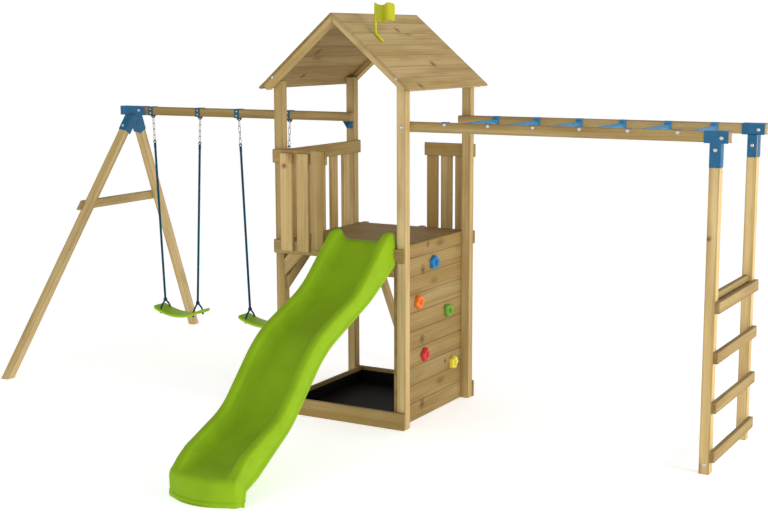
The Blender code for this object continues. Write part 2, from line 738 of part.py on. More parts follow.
def leg_box(sign, grow, start, end):
    """A square length of leg from the crossing of the axes, grown on every side."""
    across, down, out = lean_axes()
    rise = RAIL_MID / math.cos(LEAN)
    along = (across * sign * FOOT_SPREAD + down * rise).normalized()
    side = out.cross(along)
    apex = Vector((FRAME_X, BEAM_Y, RAIL_MID))
    half = POST / 2 + grow
    corners = [apex + along * start + side * a * half + out * b * half
               for a, b in ((-1, -1), (1, -1), (1, 1), (-1, 1))]
    return prism(corners, along * (end - start))


def build_swing_frame(root):
    beam = timber((BEAM_END, BEAM_Y - POST / 2, RAIL_Z), (-IX + BEAM_SEAT, BEAM_Y + POST / 2, RAIL_TOP))
    solid("swing_beam", beam, "wood", root)
    sleeve_low = RAIL_Z - WOBBLE - SHEET
    web = SHEET / 2
    reach = math.hypot(FOOT_SPREAD, RAIL_MID / math.cos(LEAN)) + 2 * POST
    sockets, cores = [], []
    for sign, name in ((-1, "front"), (1, "back")):
        leg = ease_edges(leg_box(sign, 0, 0, reach))
        slice_off(leg, Vector((0, 0, 0)), Vector((0, 0, -1)))
        slice_off(leg, Vector((0, 0, sleeve_low - WOBBLE)), Vector((0, 0, 1)))
        slice_off(leg, Vector((0, BEAM_Y + sign * (web + WOBBLE), 0)), Vector((0, -sign, 0)))
        solid(f"leg_{name}", leg, "wood", root)
        socket = leg_box(sign, WOBBLE + SHEET, 0.0, SOCKET_L)
        slice_off(socket, Vector((0, 0, sleeve_low + SHEET * 0.6)), Vector((0, 0, 1)))
        slice_off(socket, Vector((0, BEAM_Y - sign * web, 0)), Vector((0, -sign, 0)))
        sockets.append(socket)
        core = leg_box(sign, WOBBLE, 0, SOCKET_L + 0.1)
        slice_off(core, Vector((0, 0, sleeve_low)), Vector((0, 0, 1)))
        slice_off(core, Vector((0, BEAM_Y + sign * web, 0)), Vector((0, -sign, 0)))
        cores.append(core)
    wide = POST / 2 + WOBBLE + SHEET
    sleeve = timber((BEAM_END - SLEEVE_PAST, BEAM_Y - wide, sleeve_low),
                    (BEAM_END - SLEEVE_PAST + SLEEVE_X, BEAM_Y + wide, RAIL_TOP + WOBBLE + SHEET), 0.001)
    thin = POST / 2 + WOBBLE
    bore = timber((BEAM_END - 0.1, BEAM_Y - thin, RAIL_Z - WOBBLE),
                  (BEAM_END + SLEEVE_X + 0.1, BEAM_Y + thin, RAIL_TOP + WOBBLE), 0)
    bracket = fused("swing_bracket", [sleeve] + sockets, "blue", root)
    combine(bracket, "DIFFERENCE", [bore] + cores)
    build_tie(root)
    build_beam_shoe(root)


def build_tie(root):
    """The flat brace across the outer faces of both legs, its ends cut along the legs."""
    across, down, out = lean_axes()
    apex = Vector((FRAME_X, BEAM_Y, RAIL_MID))
    slope = FOOT_SPREAD * math.cos(LEAN) / RAIL_MID
    edge = POST / 2 * math.sqrt(1 + slope * slope)
    centre = TIE_DROP / math.cos(LEAN)
    points = []
    for side, level in ((1, centre - RUNG_W / 2), (1, centre + RUNG_W / 2),
                        (-1, centre + RUNG_W / 2), (-1, centre - RUNG_W / 2)):
        points.append((side * (level * slope + edge + TIE_PAST), level))
    base = apex + out * (POST / 2 + GAP)
    bm = prism([base + across * a + down * b for a, b in points], out * RUNG_T)
    solid("leg_tie", ease_edges(bm), "wood", root)


def build_beam_shoe(root):
    """The angle under the beam's tower end: a plate on the post, a plate under the beam and a cheek."""
    top = RAIL_Z - GAP
    back = IY - GAP
    left = -HX + SHOE_IN
    right = left + SHOE_W
    front = back - SHOE_REACH
    foot = top - SHOE_DROP
    upright = timber((left, back - SHEET, foot), (right, back, top), 0)
    shelf = timber((left, front, top - SHEET), (right, back, top), 0)
    cheek = prism([(left, back - SHEET / 2, top - SHEET / 2), (left, back - SHEET / 2, foot + LAP),
                   (left, front + LAP, top - SHEET / 2)], (SHEET, 0, 0))
    fused("beam_shoe", [upright, shelf, cheek], "blue", root)


def pivot_z():
    """The axis that a swing turns on: the wire of its two bails."""
    return RAIL_Z - GAP - STRAP_T - BAIL_DROP - BAIL_R


def build_hanger(name, x, root):
    """A strap round the beam with a bail under it."""
    wide = POST / 2 + GAP
    low, high = RAIL_Z - GAP, RAIL_TOP + GAP
    outer = timber((x - STRAP_W / 2, BEAM_Y - wide - STRAP_T, low - STRAP_T),
                   (x + STRAP_W / 2, BEAM_Y + wide + STRAP_T, high + STRAP_T), 0.001)
    inner = timber((x - STRAP_W, BEAM_Y - wide, low), (x + STRAP_W, BEAM_Y + wide, high), 0)
    centre = Vector((x, BEAM_Y, pivot_z() + BAIL_R))
    head = low - STRAP_T / 2
    points = [Vector((x - BAIL_R, BEAM_Y, head))]
    for k in range(7):
        a = math.pi * (1 + k / 6)
        points.append(centre + Vector((BAIL_R * math.cos(a), 0, BAIL_R * math.sin(a))))
    points.append(Vector((x + BAIL_R, BEAM_Y, head)))
    bail = rod(points, [BAIL_D / 2] * len(points), 6)
    obj = solid(name, outer, "rope", root)
    combine(obj, "DIFFERENCE", [inner])
    combine(obj, "UNION", [bail])


def tilt_of():
    """Angle of a hanging line from plumb, in the plane of the beam."""
    seat_top = SEAT_Z + SEAT_T + SEAT_SAG * (KNOT_HALF / (SEAT_L / 2)) ** 2
    drop = pivot_z() - (seat_top + KNOT_RISE)
    return math.atan2(HOOK_HALF - KNOT_HALF, drop), drop


def build_line(title, side, swing, centre_x):
    """Chain and rope of one side, drawn straight down from the pivot and tilted to the seat."""
    tilt, drop = tilt_of()
    length = drop / math.cos(tilt)
    pivot = Vector((centre_x + side * HOOK_HALF, BEAM_Y, pivot_z()))
    turn = Matrix.Rotation(side * tilt, 4, "Y")
    across, square, down = (turn @ Vector(v) for v in ((1, 0, 0), (0, 1, 0), (0, 0, -1)))
    start = -(BAIL_D / 2 + GAP + LINK_D / 2)
    step = LINK_L - (LINK_D - 0.0006)
    links = []
    for k in range(LINKS):
        middle = pivot + down * (start + k * step + LINK_L / 2)
        flat = square if k % 2 == 0 else across
        links.append(torus(middle, flat, down, LINK_W / 2, LINK_L / 2, LINK_D))
    fused(f"{title}_chain", links, "zinc", swing, pivot, 40)
    last = start + (LINKS - 1) * step + LINK_L
    eye = last - LINK_D / 2 - GAP - EYE_D / 2 + EYE_R
    head = eye + EYE_R - EYE_D / 2
    knot = pivot + down * length
    line = rod([pivot + down * head, pivot + down * (head + 0.018), knot],
               [EYE_D * 0.62, ROPE_D / 2, ROPE_D / 2], 10)
    loop = torus(pivot + down * eye, square, down, EYE_R, EYE_R, EYE_D, 12, 5)
    tie = ball(knot, KNOT_R, 0.9)
    pieces = [line, loop, tie]
    seat_low = seat_level(KNOT_HALF)
    for sign in (-1, 1):
        hole = Vector((knot.x, BEAM_Y + sign * LEG_Y, seat_low))
        bend = hole + Vector((0, 0, SEAT_T + 0.012))
        foot = hole - Vector((0, 0, LEG_KNOT_R))
        path = [knot, knot.lerp(bend, 0.8), bend, foot]
        pieces.append(rod(path, [LEG_D / 2] * 4, 6))
        pieces.append(ball(foot, LEG_KNOT_R, 0.8, 4))
    fused(f"{title}_rope", pieces, "rope", swing, pivot, 40)


def seat_level(x):
    return SEAT_Z + SEAT_SAG * (x / (SEAT_L / 2)) ** 2


def build_seat(title, swing, centre_x):
    """A dished board seat: rings along its length, swept up at both ends, with four rope holes."""
    rings = []
    count = 14
    for k in range(count + 1):
        s = -1 + 2 * k / count
        s = math.copysign(abs(s) ** 0.85, s)
        x = s * SEAT_L / 2 * 0.998
        width = SEAT_W / 2 * (1 - abs(s) ** 7) ** 0.4 + 0.004
        thick = SEAT_T / 2 * (1 - 0.35 * abs(s) ** 8)
        middle = seat_level(x) + SEAT_T / 2
        ring = []
        for j in range(12):
            a = 2 * math.pi * (j + 0.5) / 12
            cx, cz = math.cos(a), math.sin(a)
            y = width * math.copysign(abs(cx) ** 0.55, cx)
            z = thick * math.copysign(abs(cz) ** 0.6, cz)
            ring.append(Vector((centre_x + x, BEAM_Y + y, middle + z)))
        rings.append(ring)
    origin = Vector((centre_x, BEAM_Y, SEAT_Z))
    obj = solid(f"{title}_seat", skin(rings), "lime", swing, origin, 50)
    holes = []
    for side in (-1, 1):
        for sign in (-1, 1):
            low = Vector((centre_x + side * KNOT_HALF, BEAM_Y + sign * LEG_Y, seat_level(KNOT_HALF) - 0.04))
            holes.append(rod([low, low + Vector((0, 0, 0.1))], [HOLE_D / 2] * 2, 10))
    combine(obj, "DIFFERENCE", holes)


def build_swings(root):
    for index, run in enumerate(SWING_RUN, 1):
        centre_x = -HX - run
        swing = empty(f"swing_{index}", (centre_x, BEAM_Y, pivot_z()), root)
        for side, name in ((-1, "left"), (1, "right")):
            build_hanger(f"hanger_{index}_{name}", centre_x + side * HOOK_HALF, root)
            build_line(f"swing_{index}_{name}", side, swing, centre_x)
        build_seat(f"swing_{index}", swing, centre_x)


def build_bars(root):
    for sign, name in ((-1, "front"), (1, "back")):
        ys = sorted((sign * BARS_Y, sign * (BARS_Y + POST)))
        bm = timber((IX, ys[0], RAIL_Z), (BARS_END, ys[1], RAIL_TOP))
        solid(f"bar_rail_{name}", bm, "wood", root)
    for k in range(BARS):
        build_rung(f"bar_{k + 1}", HX + FIRST_BAR + k * BAR_PITCH, root)
    build_end_frame(root)
    build_tee("tee_front", -1, root)
    build_tee("tee_back", 1, root)


def build_rung(name, x, root):
    """A round bar flared into a hanger plate at each end; each plate hooks over its rail."""
    z = RAIL_MID
    face = BARS_Y - GAP
    ends = [(face - SHEET / 2, FLARE_R), (face - 0.012, FLARE_R * 0.9), (face - 0.030, BAR_R)]
    path = [(x, -y, z) for y, _ in ends] + [(x, y, z) for y, _ in reversed(ends)]
    radii = [r for _, r in ends] + [r for _, r in reversed(ends)]
    pieces = [rod(path, radii, 12)]
    top = RAIL_TOP + GAP + SHEET
    low = top - PLATE_H - SHEET
    for sign in (-1, 1):
        outline = [(face, low), (face - SHEET, low), (face - SHEET, top), (face + PLATE_HOOK, top),
                   (face + PLATE_HOOK, top - SHEET), (face, top - SHEET)]
        pieces.append(prism([(x - PLATE_W / 2, sign * y, h) for y, h in outline], (PLATE_W, 0, 0)))
    fused(name, pieces, "blue", root, (x, 0, z), 40)


def build_end_frame(root):
    """Two posts with a ladder of rungs on their outer faces and a spreader between them."""
    half = BARS_Y + POST
    posts = []
    for sign in (-1, 1):
        ys = sorted((sign * BARS_Y, sign * half))
        posts.append(timber((BARS_POST, ys[0], 0), (BARS_POST + POST, ys[1], RAIL_Z - GAP)))
    face = BARS_POST + POST
    steps = []
    for k in range(STEPS):
        top = LOW_STEP + k * STEP_Z
        steps.append(timber((face - LAP, -half, top - RUNG_W), (face + RUNG_T, half, top)))
    top = LOW_STEP + (STEPS - 1) * STEP_Z + SPREADER_UP
    front = BARS_POST + SPREADER_IN
    spreader = timber((front, -BARS_Y - LAP, top - RUNG_W), (front + RUNG_T, BARS_Y + LAP, top))
    fused("end_frame", [posts[0], posts[1], spreader] + steps, "wood", root)


def build_tee(name, sign, root):
    """A folded tee: plate on the outer faces, a lip over the rail and a flange round the post."""
    plane = BARS_Y + POST + GAP
    left, right = BARS_POST - TEE_WING, BARS_END - LAP
    top = RAIL_TOP + GAP + SHEET
    stem_l, stem_r = BARS_POST, BARS_POST + POST + GAP + SHEET
    neck, foot = RAIL_Z - TEE_NECK, RAIL_Z - TEE_FOOT
    outline = [(left, top), (left, neck), (stem_l, neck), (stem_l, foot), (stem_r, foot),
               (stem_r, neck), (right, neck), (right, top)]
    plate = prism([(x, sign * plane, z) for x, z in outline], (0, sign * SHEET, 0))
    lip_y = sorted((sign * (plane + SHEET / 2), sign * (BARS_Y - GAP - SHEET / 2)))
    lip = timber((left, lip_y[0], top - SHEET), (right, lip_y[1], top), 0)
    back_y = sorted((sign * (BARS_Y - GAP - SHEET), sign * (BARS_Y - GAP)))
    back = timber((left, back_y[0], neck), (right, back_y[1], top), 0)
    flange_y = sorted((sign * (plane + SHEET / 2), sign * (BARS_Y + TEE_WRAP)))
    flange = timber((stem_r - SHEET, flange_y[0], foot), (stem_r, flange_y[1], RAIL_Z - WOBBLE), 0)
    fused(name, [plate, lip, back, flange], "blue", root)


def build_flag(root):
    """A moulded pennant on a round pole whose foot is bent down the roof."""
    out = Vector((math.sin(ROOF_PITCH), 0, math.cos(ROOF_PITCH)))
    down = Vector((math.cos(ROOF_PITCH), 0, -math.sin(ROOF_PITCH)))
    y = POLE_AT * HY
    foot = Vector((POLE_X, y, RIDGE_Z - math.tan(ROOF_PITCH) * POLE_X))
    heel = foot + out * (POLE_R + GAP)
    top = heel + Vector((0, 0, POLE_H))
    path = [heel + down * POLE_FOOT, heel + down * 0.020, heel + down * 0.007 + Vector((0, 0, 0.004)),
            heel + Vector((0, 0, 0.016)), top - Vector((0, 0, 0.006)), top]
    pole = rod(path, [POLE_R] * 5 + [POLE_R * 0.6], 10)
    rows = []
    for k in range(13):
        s = k / 12
        x = heel.x + s * FLAG_L
        wave = 0.010 * math.sin(2.2 * math.pi * s) * min(3 * s, 1)
        lift = 0.005 * math.sin(1.6 * math.pi * s)
        high = top.z - 0.004 + lift
        rows.append([Vector((x, y + wave + side * FLAG_T / 2, z))
                     for side, z in ((-1, high - FLAG_H), (1, high - FLAG_H), (1, high), (-1, high))])
    fused("flag", [pole, skin(rows)], "flag", root, heel, 40)


def centre_on_footprint(root):
    """Moves the root so that the whole stands over the middle of its footprint."""
    bpy.context.view_layer.update()
    corners = []
    for obj in bpy.context.scene.objects:
        if obj.type == "MESH" and not obj.hide_render and not obj.name.endswith(("_rope", "_chain")):
            corners += [obj.matrix_world @ Vector(c) for c in obj.bound_box]
    xs, ys = [c.x for c in corners], [c.y for c in corners]
    root.location = (-(min(xs) + max(xs)) / 2, -(min(ys) + max(ys)) / 2, 0)
    bpy.context.view_layer.update()


def main():
    clear_scene()
    root = empty("play_tower", (0, 0, 0))
    build_posts(root)
    build_deck(root)
    build_guards(root)
    build_braces(root)
    build_roof(root)
    build_wall(root)
    build_sandbox(root)
    build_back_ladder(root)
    build_slide(root)
    build_swing_frame(root)
    build_swings(root)
    build_bars(root)
    build_flag(root)
    centre_on_footprint(root)


main()
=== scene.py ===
"""Looks of a timber play tower with a slide and two swings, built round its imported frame."""

from math import atan2, cos, modf, pi, radians, sin, sqrt, tan

import bpy
import numpy as np
from bpy.props import FloatProperty, IntVectorProperty, PointerProperty
from mathutils import Matrix, Vector


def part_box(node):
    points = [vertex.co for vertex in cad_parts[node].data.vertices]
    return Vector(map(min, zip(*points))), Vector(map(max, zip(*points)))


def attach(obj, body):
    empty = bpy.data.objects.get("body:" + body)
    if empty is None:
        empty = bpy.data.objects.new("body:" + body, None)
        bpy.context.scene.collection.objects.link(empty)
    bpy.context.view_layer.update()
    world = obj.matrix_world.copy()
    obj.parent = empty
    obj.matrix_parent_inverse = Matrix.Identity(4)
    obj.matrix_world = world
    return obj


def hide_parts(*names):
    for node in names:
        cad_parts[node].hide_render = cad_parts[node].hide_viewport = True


bl_info = {
    "name": "Play Tower",
    "version": (1, 0, 0),
    "blender": (4, 5, 0),
    "location": "View3D > Sidebar > Play Tower",
    "description": "Timber, slide, swings, bars and fittings of a play tower",
    "category": "Object",
}

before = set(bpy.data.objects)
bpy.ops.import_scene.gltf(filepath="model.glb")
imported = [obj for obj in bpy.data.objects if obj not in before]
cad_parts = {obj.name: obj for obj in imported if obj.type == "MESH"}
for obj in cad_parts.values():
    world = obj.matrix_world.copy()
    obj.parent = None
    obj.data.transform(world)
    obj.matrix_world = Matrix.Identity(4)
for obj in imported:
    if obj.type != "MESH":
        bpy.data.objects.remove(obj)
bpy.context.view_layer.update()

# The tower's middle, from two of its posts
FRONT_LEFT, BACK_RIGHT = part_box("post_front_left")[0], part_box("post_back_right")[1]
MIDDLE = np.array([(FRONT_LEFT.x + BACK_RIGHT.x) / 2, (FRONT_LEFT.y + BACK_RIGHT.y) / 2, 0.0])
X, Y, Z = np.eye(3)

# Sizes of the object, in metres from the tower's middle
GAP = 0.0003                    # between neighbours
POST = 0.063                    # square timber
BOARD, BOARD_W = 0.021, 0.091
JOIST = 0.038                   # joists, rafters and ladder stringers
FLAT, FLAT_W = 0.028, 0.070     # rungs and tie
BRACE_W = 0.080
PLATE = 0.003                   # folded steel
INSET = 0.002
HX, HY = BACK_RIGHT.x - MIDDLE[0], BACK_RIGHT.y - MIDDLE[1]
IX, IY = HX - POST, HY - POST
POST_X = 0.4685                 # middle of a tower post
DECK = 1.200
DECK_GAP = 0.005
DECK_PITCH = (2 * HY - 9 * DECK_GAP) / 10 + DECK_GAP
JOIST_AT = (-0.150, 0.120, 0.385)       # shares of the tower's width
GUARD = DECK + 0.609
PANEL = 2 * HX - 0.583          # front panel, beside the slide's way
SLAT_AT, SLAT_W = (0.163, 0.471, 0.745), 0.2266     # shares of the front panel
BACK_PANEL = HX - 0.391         # left end of the back panel
RAIL = DECK + 0.749             # under the rails and the swing beam
RAIL_TOP = RAIL + POST
BEAM_Z = RAIL + POST / 2
RIDGE = DECK + 1.5105
PITCH = radians(40.515)
ROOF_T = 0.015
ROOF_LENGTH = (HX + 0.074) / cos(PITCH)
FACE_Y = HY + GAP
SLAT_Y = FACE_Y + BOARD + GAP
WALL_T, WALL_PITCH = 0.022, (DECK - BOARD_W) / 9
BEAM_Y = IY - GAP - POST / 2
BEAM_END = -HX - 2.060
LEG_SPREAD, LEG_OUT = 1.145, 0.355
BARS_Y = IY - GAP - POST
BARS_X = [HX + 0.227 + 0.300 * k for k in range(6)]
BARS_POST = BARS_X[-1] + 0.207
RUNG_TOP, RUNG_STEP = 0.146, 0.2965
SWINGS_X = (-HX - 1.534, -HX - 0.7035)
HOOK, KNOT = 0.2305, 0.1625     # from a swing's middle
PIVOT_Z = RAIL - GAP - PLATE - 0.0087 - 0.012
SEAT_L, SEAT_W, SEAT_T, SEAT_SAG, SEAT_LOW = 0.450, 0.163, 0.018, 0.052, 0.362
SEAT_HOLE_Z = SEAT_LOW + SEAT_SAG * (KNOT / (SEAT_L / 2)) ** 2
ROPE_DROP = PIVOT_Z - (SEAT_HOLE_Z + SEAT_T + 0.068)
ROPE_TILT = atan2(HOOK - KNOT, ROPE_DROP)
ROPE_LAY = 0.060

# Holds: across the wall, up it (shares), lobes, turn and colour
HOLDS = {
    "hold_blue": (0.004, 0.869, 5, 0.2, (34, 120, 176)),
    "hold_orange": (-0.432, 0.671, 4, 0.9, (236, 120, 44)),
    "hold_green": (0.430, 0.565, 3, 0.4, (104, 160, 50)),
    "hold_red": (-0.253, 0.358, 4, 2.1, (216, 66, 66)),
    "hold_yellow": (0.592, 0.241, 5, 1.3, (224, 206, 70)),
}
# Knots that show plainly: (x, y, z, radius)
KNOTS = (
    (0.437, -0.136, 1.009, 0.018), (0.437, -0.148, 0.540, 0.018), (0.437, -0.147, 0.088, 0.020),
    (0.437, -0.065, 1.175, 0.010), (0.437, 0.192, 0.316, 0.011), (0.137, 0.049, 2.593, 0.014),
    (0.401, 0.069, 2.368, 0.016), (0.552, -0.382, 2.239, 0.015), (2.443, -0.432, 1.398, 0.009),
    (-0.397, -0.538, 1.702, 0.011), (-0.283, -0.282, 2.449, 0.015), (-0.474, -0.176, 2.286, 0.013),
)


def rows(values):
    return np.array(values, dtype=float)


def unit(vector):
    vector = rows(vector)
    return vector / np.linalg.norm(vector)


def beside(axis):
    """A direction square to an axis."""
    return unit(np.cross(axis, X if abs(axis[0]) < 0.9 else Y))


def turns(count, start=0.0):
    """Angles evenly round a circle."""
    return (np.arange(count) + start) * 2 * pi / count


def circle(turn, first, second):
    """cos x first + sin x second at each angle."""
    return np.cos(turn)[:, None] * first + np.sin(turn)[:, None] * second


def squarish(values, power):
    """Sines or cosines drawn out towards a square, their signs kept."""
    return np.sign(values) * np.abs(values) ** power


def span(node):
    """A node's lowest and highest corners, from the tower's middle."""
    return [rows(corner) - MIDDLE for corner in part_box(node)]


def slope(sign):
    """The ways down and out of one side of the roof."""
    down = sign * cos(PITCH) * X - sin(PITCH) * Z
    return down, sign * sin(PITCH) * X + cos(PITCH) * Z


class Shape:
    """Points, faces and fields of one piece, gathered from several surfaces."""

    def __init__(self):
        self.points, self.faces, self.grain, self.lot, self.smooth = [], [], [], [], []
        self.count = 0

    def add(self, points, faces, grain=None, lot=(0.0, 1.0, 0.0), smooth=True):
        points = rows(points).reshape(-1, 3)
        self.points.append(points)
        self.faces += [tuple(self.count + i for i in face) for face in faces]
        self.smooth += [smooth] * len(faces)
        self.grain.append(points if grain is None else rows(grain).reshape(-1, 3))
        self.lot.append(np.broadcast_to(rows(lot), (len(points), 3)))
        self.count += len(points)
        return self

    def keep_y(self, low=-np.inf, high=np.inf):
        """Brings points past a plane across Y back to it."""
        for block in self.points:
            block[:, 1] = np.clip(block[:, 1], low, high)

    def piece(self, name, look, slot, replaces=(), body="tower"):
        """The object of the gathered surfaces, with its fields as attributes."""
        mesh = bpy.data.meshes.new(name)
        mesh.from_pydata((np.concatenate(self.points) + MIDDLE).tolist(), [], self.faces)
        mesh.polygons.foreach_set("use_smooth", self.smooth)
        for key, values in (("grain", self.grain), ("lot", self.lot)):
            field = mesh.attributes.new(key, "FLOAT_VECTOR", "POINT")
            field.data.foreach_set("vector", np.concatenate(values).ravel())
        mesh.update()
        made = bpy.data.objects.new(name, mesh)
        bpy.context.scene.collection.objects.link(made)
        mesh.materials.append(finish(look))
        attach(made, body)
        if replaces:
            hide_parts(*replaces)
        return made

    def timber(self, node, kind="timber"):
        """The wooden piece that stands for a node."""
        return self.piece(f"{node}_{kind}", "wood", "wood", [node])


def net(high, wide, close_high=False, close_wide=True):
    """Quads of a grid of high x wide points; either way can be closed on itself."""
    i = np.arange(high if close_high else high - 1)[:, None]
    j = np.arange(wide if close_wide else wide - 1)[None, :]
    above, right = (i + 1) % high * wide, (j + 1) % wide
    quads = np.broadcast_arrays(i * wide + j, i * wide + right, above + right, above + j)
    return np.stack(quads, axis=-1).reshape(-1, 4).tolist()


def capped(high, wide):
    """The net of a closed tube with a face at each end."""
    return net(high, wide) + [list(range(wide))[::-1], list(range((high - 1) * wide, high * wide))]


def plank(shape, start, end, face, wide, thick, cuts=(None, None), ease=0.0028, tone=0.8):
    """A board: a rounded rectangle carried along a line and ended by planes (point, normal).
    Its grain field holds the way along, across and through it; its lot field holds the board's
    own chance, its tone (painted shade on the deck and the roof's left slope) and how near a point is to an
    edge or end."""
    start, end = rows(start), rows(end)
    along = unit(end - start)
    face = unit(rows(face) - along * np.dot(rows(face), along))
    side = np.cross(face, along)
    corners = []
    rim = min(0.008, thick / 4, wide / 4)
    for k, (sx, sy) in enumerate(((1, 1), (-1, 1), (-1, -1), (1, -1))):
        turn = np.radians([0, 45, 90]) + k * pi / 2
        arc = np.stack([sx * (wide / 2 - ease) + ease * np.cos(turn),
                        sy * (thick / 2 - ease) + ease * np.sin(turn)], axis=1)
        before = arc[:1] - rim * np.array([[-sin(turn[0]), cos(turn[0])]])
        after = arc[-1:] + rim * np.array([[-sin(turn[2]), cos(turn[2])]])
        corners += [before, arc, after]
    ring = np.concatenate(corners)
    worn = np.tile([0, 1, 1, 1, 0], 4)
    inner = ring * [(wide / 2 - ease) / (wide / 2), (thick / 2 - ease) / (thick / 2)]
    spots, near = [], []
    for at, cut, inward in ((start, cuts[0], 1), (end, cuts[1], -1)):
        for outline, back, ends in ((inner, 0.0, 1), (ring, ease, 1), (ring, ease + 0.010, 0)):
            line = at + outline[:, :1] * side + outline[:, 1:] * face
            if cut is not None:
                point, normal = rows(cut[0]), rows(cut[1])
                line = line + ((point - line) @ normal / (along @ normal))[:, None] * along
            spots.append(line + inward * back * along)
            near.append(np.maximum(worn, ends))
    points, near = (np.concatenate([blocks[k] for k in (0, 1, 2, 5, 4, 3)]) for blocks in (spots, near))
    chance = modf(abs(sin(shape.count * 12.9898 + start @ [1.7, 3.1, 5.3])) * 43758.5453)[0]
    local = points - start
    grain = np.stack([local @ along + chance * 17.0, local @ side, local @ face], axis=1)
    lot = np.stack([np.full(len(near), chance), np.full(len(near), tone), near], axis=1)
    return shape.add(points, capped(6, len(ring)), grain, lot, smooth=False)


def beam(shape, low, high, axis, ease=0.0028, tone=0.8):
    """A board between two corners of a box, its grain along one axis (0, 1 or 2)."""
    low, high = rows(low), rows(high)
    start, size = (low + high) / 2, high - low
    thin, broad = sorted((k for k in range(3) if k != axis), key=lambda k: size[k])
    end = start.copy()
    start[axis], end[axis] = low[axis], high[axis]
    return plank(shape, start, end, np.eye(3)[thin], size[broad], size[thin], ease=ease, tone=tone)


def straight(node, axis, tone, kind="timber"):
    """A node that is one straight piece of wood, its grain along an axis."""
    beam(Shape(), *span(node), axis, tone=tone).timber(node, kind)


def revolve(shape, centre, axis, profile, around):
    """A turned piece: (radius, height) pairs carried round an axis, with closed ends."""
    axis = unit(axis)
    first = beside(axis)
    spokes = circle(turns(around), first, np.cross(axis, first))
    profile = rows(profile)
    points = rows(centre) + profile[:, None, :1] * spokes + profile[:, None, 1:] * axis
    return shape.add(points, capped(len(profile), around))


def tube(shape, path, radius, around, ripple=None):
    """A round line through points, its section kept from twisting by carrying one side vector along.
    ripple(turn, length) swells the radius. The grain field holds length, turn and radius."""
    path = rows(path)
    ahead = np.gradient(path, axis=0)
    ahead /= np.linalg.norm(ahead, axis=1)[:, None]
    first = np.empty_like(path)
    side = beside(ahead[0])
    for k, way in enumerate(ahead):
        side = unit(side - way * (side @ way))
        first[k] = side
    steps = np.linalg.norm(np.diff(path, axis=0), axis=1)
    length = np.concatenate([[0], np.cumsum(steps)])[:, None]
    turn = turns(around)
    reach = np.broadcast_to(radius, len(path))[:, None] * np.ones(around)
    if ripple:
        reach = reach * ripple(turn, length)
    points = path[:, None] + reach[..., None] * circle(turn, first[:, None], np.cross(ahead, first)[:, None])
    grain = np.stack(np.broadcast_arrays(length, turn, reach), axis=-1)
    return shape.add(points, capped(len(path), around), grain)


def loop(shape, centre, across, down, half_w, half_l, wire, steps=40, around=10):
    """A closed wire link: a stadium path of two half circles and two straights, swept by a circle."""
    across, down = unit(across), unit(down)
    turn = turns(steps, 0.5)
    lift = np.where(np.sin(turn) > 0, 1, -1) * max(half_l - half_w, 0)
    radial = circle(turn, across, down)
    middle = rows(centre) + half_w * radial + lift[:, None] * down
    section = circle(turns(around), radial[:, None], np.cross(across, down))
    return shape.add(middle[:, None] + wire / 2 * section, net(steps, around, close_high=True))


def plate(shape, outline, axis, near, far, flip=False):
    """A flat plate: an outline carried straight along an axis from near to far."""
    ends = [np.insert(rows(outline), axis, at, axis=1) for at in (near, far)]
    faces = capped(2, len(outline))
    return shape.add(np.concatenate(ends), [f[::-1] for f in faces] if flip else faces, smooth=False)


# Finishes

class Wire:
    """A value in a material; the usual operators add the nodes that work it out."""

    def __init__(self, recipe, socket):
        self.recipe, self.socket = recipe, socket

    def __add__(self, other):
        return self.recipe.math("ADD", self, other)

    def __sub__(self, other):
        return self.recipe.math("SUBTRACT", self, other)

    def __rsub__(self, other):
        return self.recipe.math("SUBTRACT", other, self)

    def __mul__(self, other):
        return self.recipe.math("MULTIPLY", self, other)

    def __truediv__(self, other):
        return self.recipe.math("DIVIDE", self, other)

    __radd__, __rmul__ = __add__, __mul__


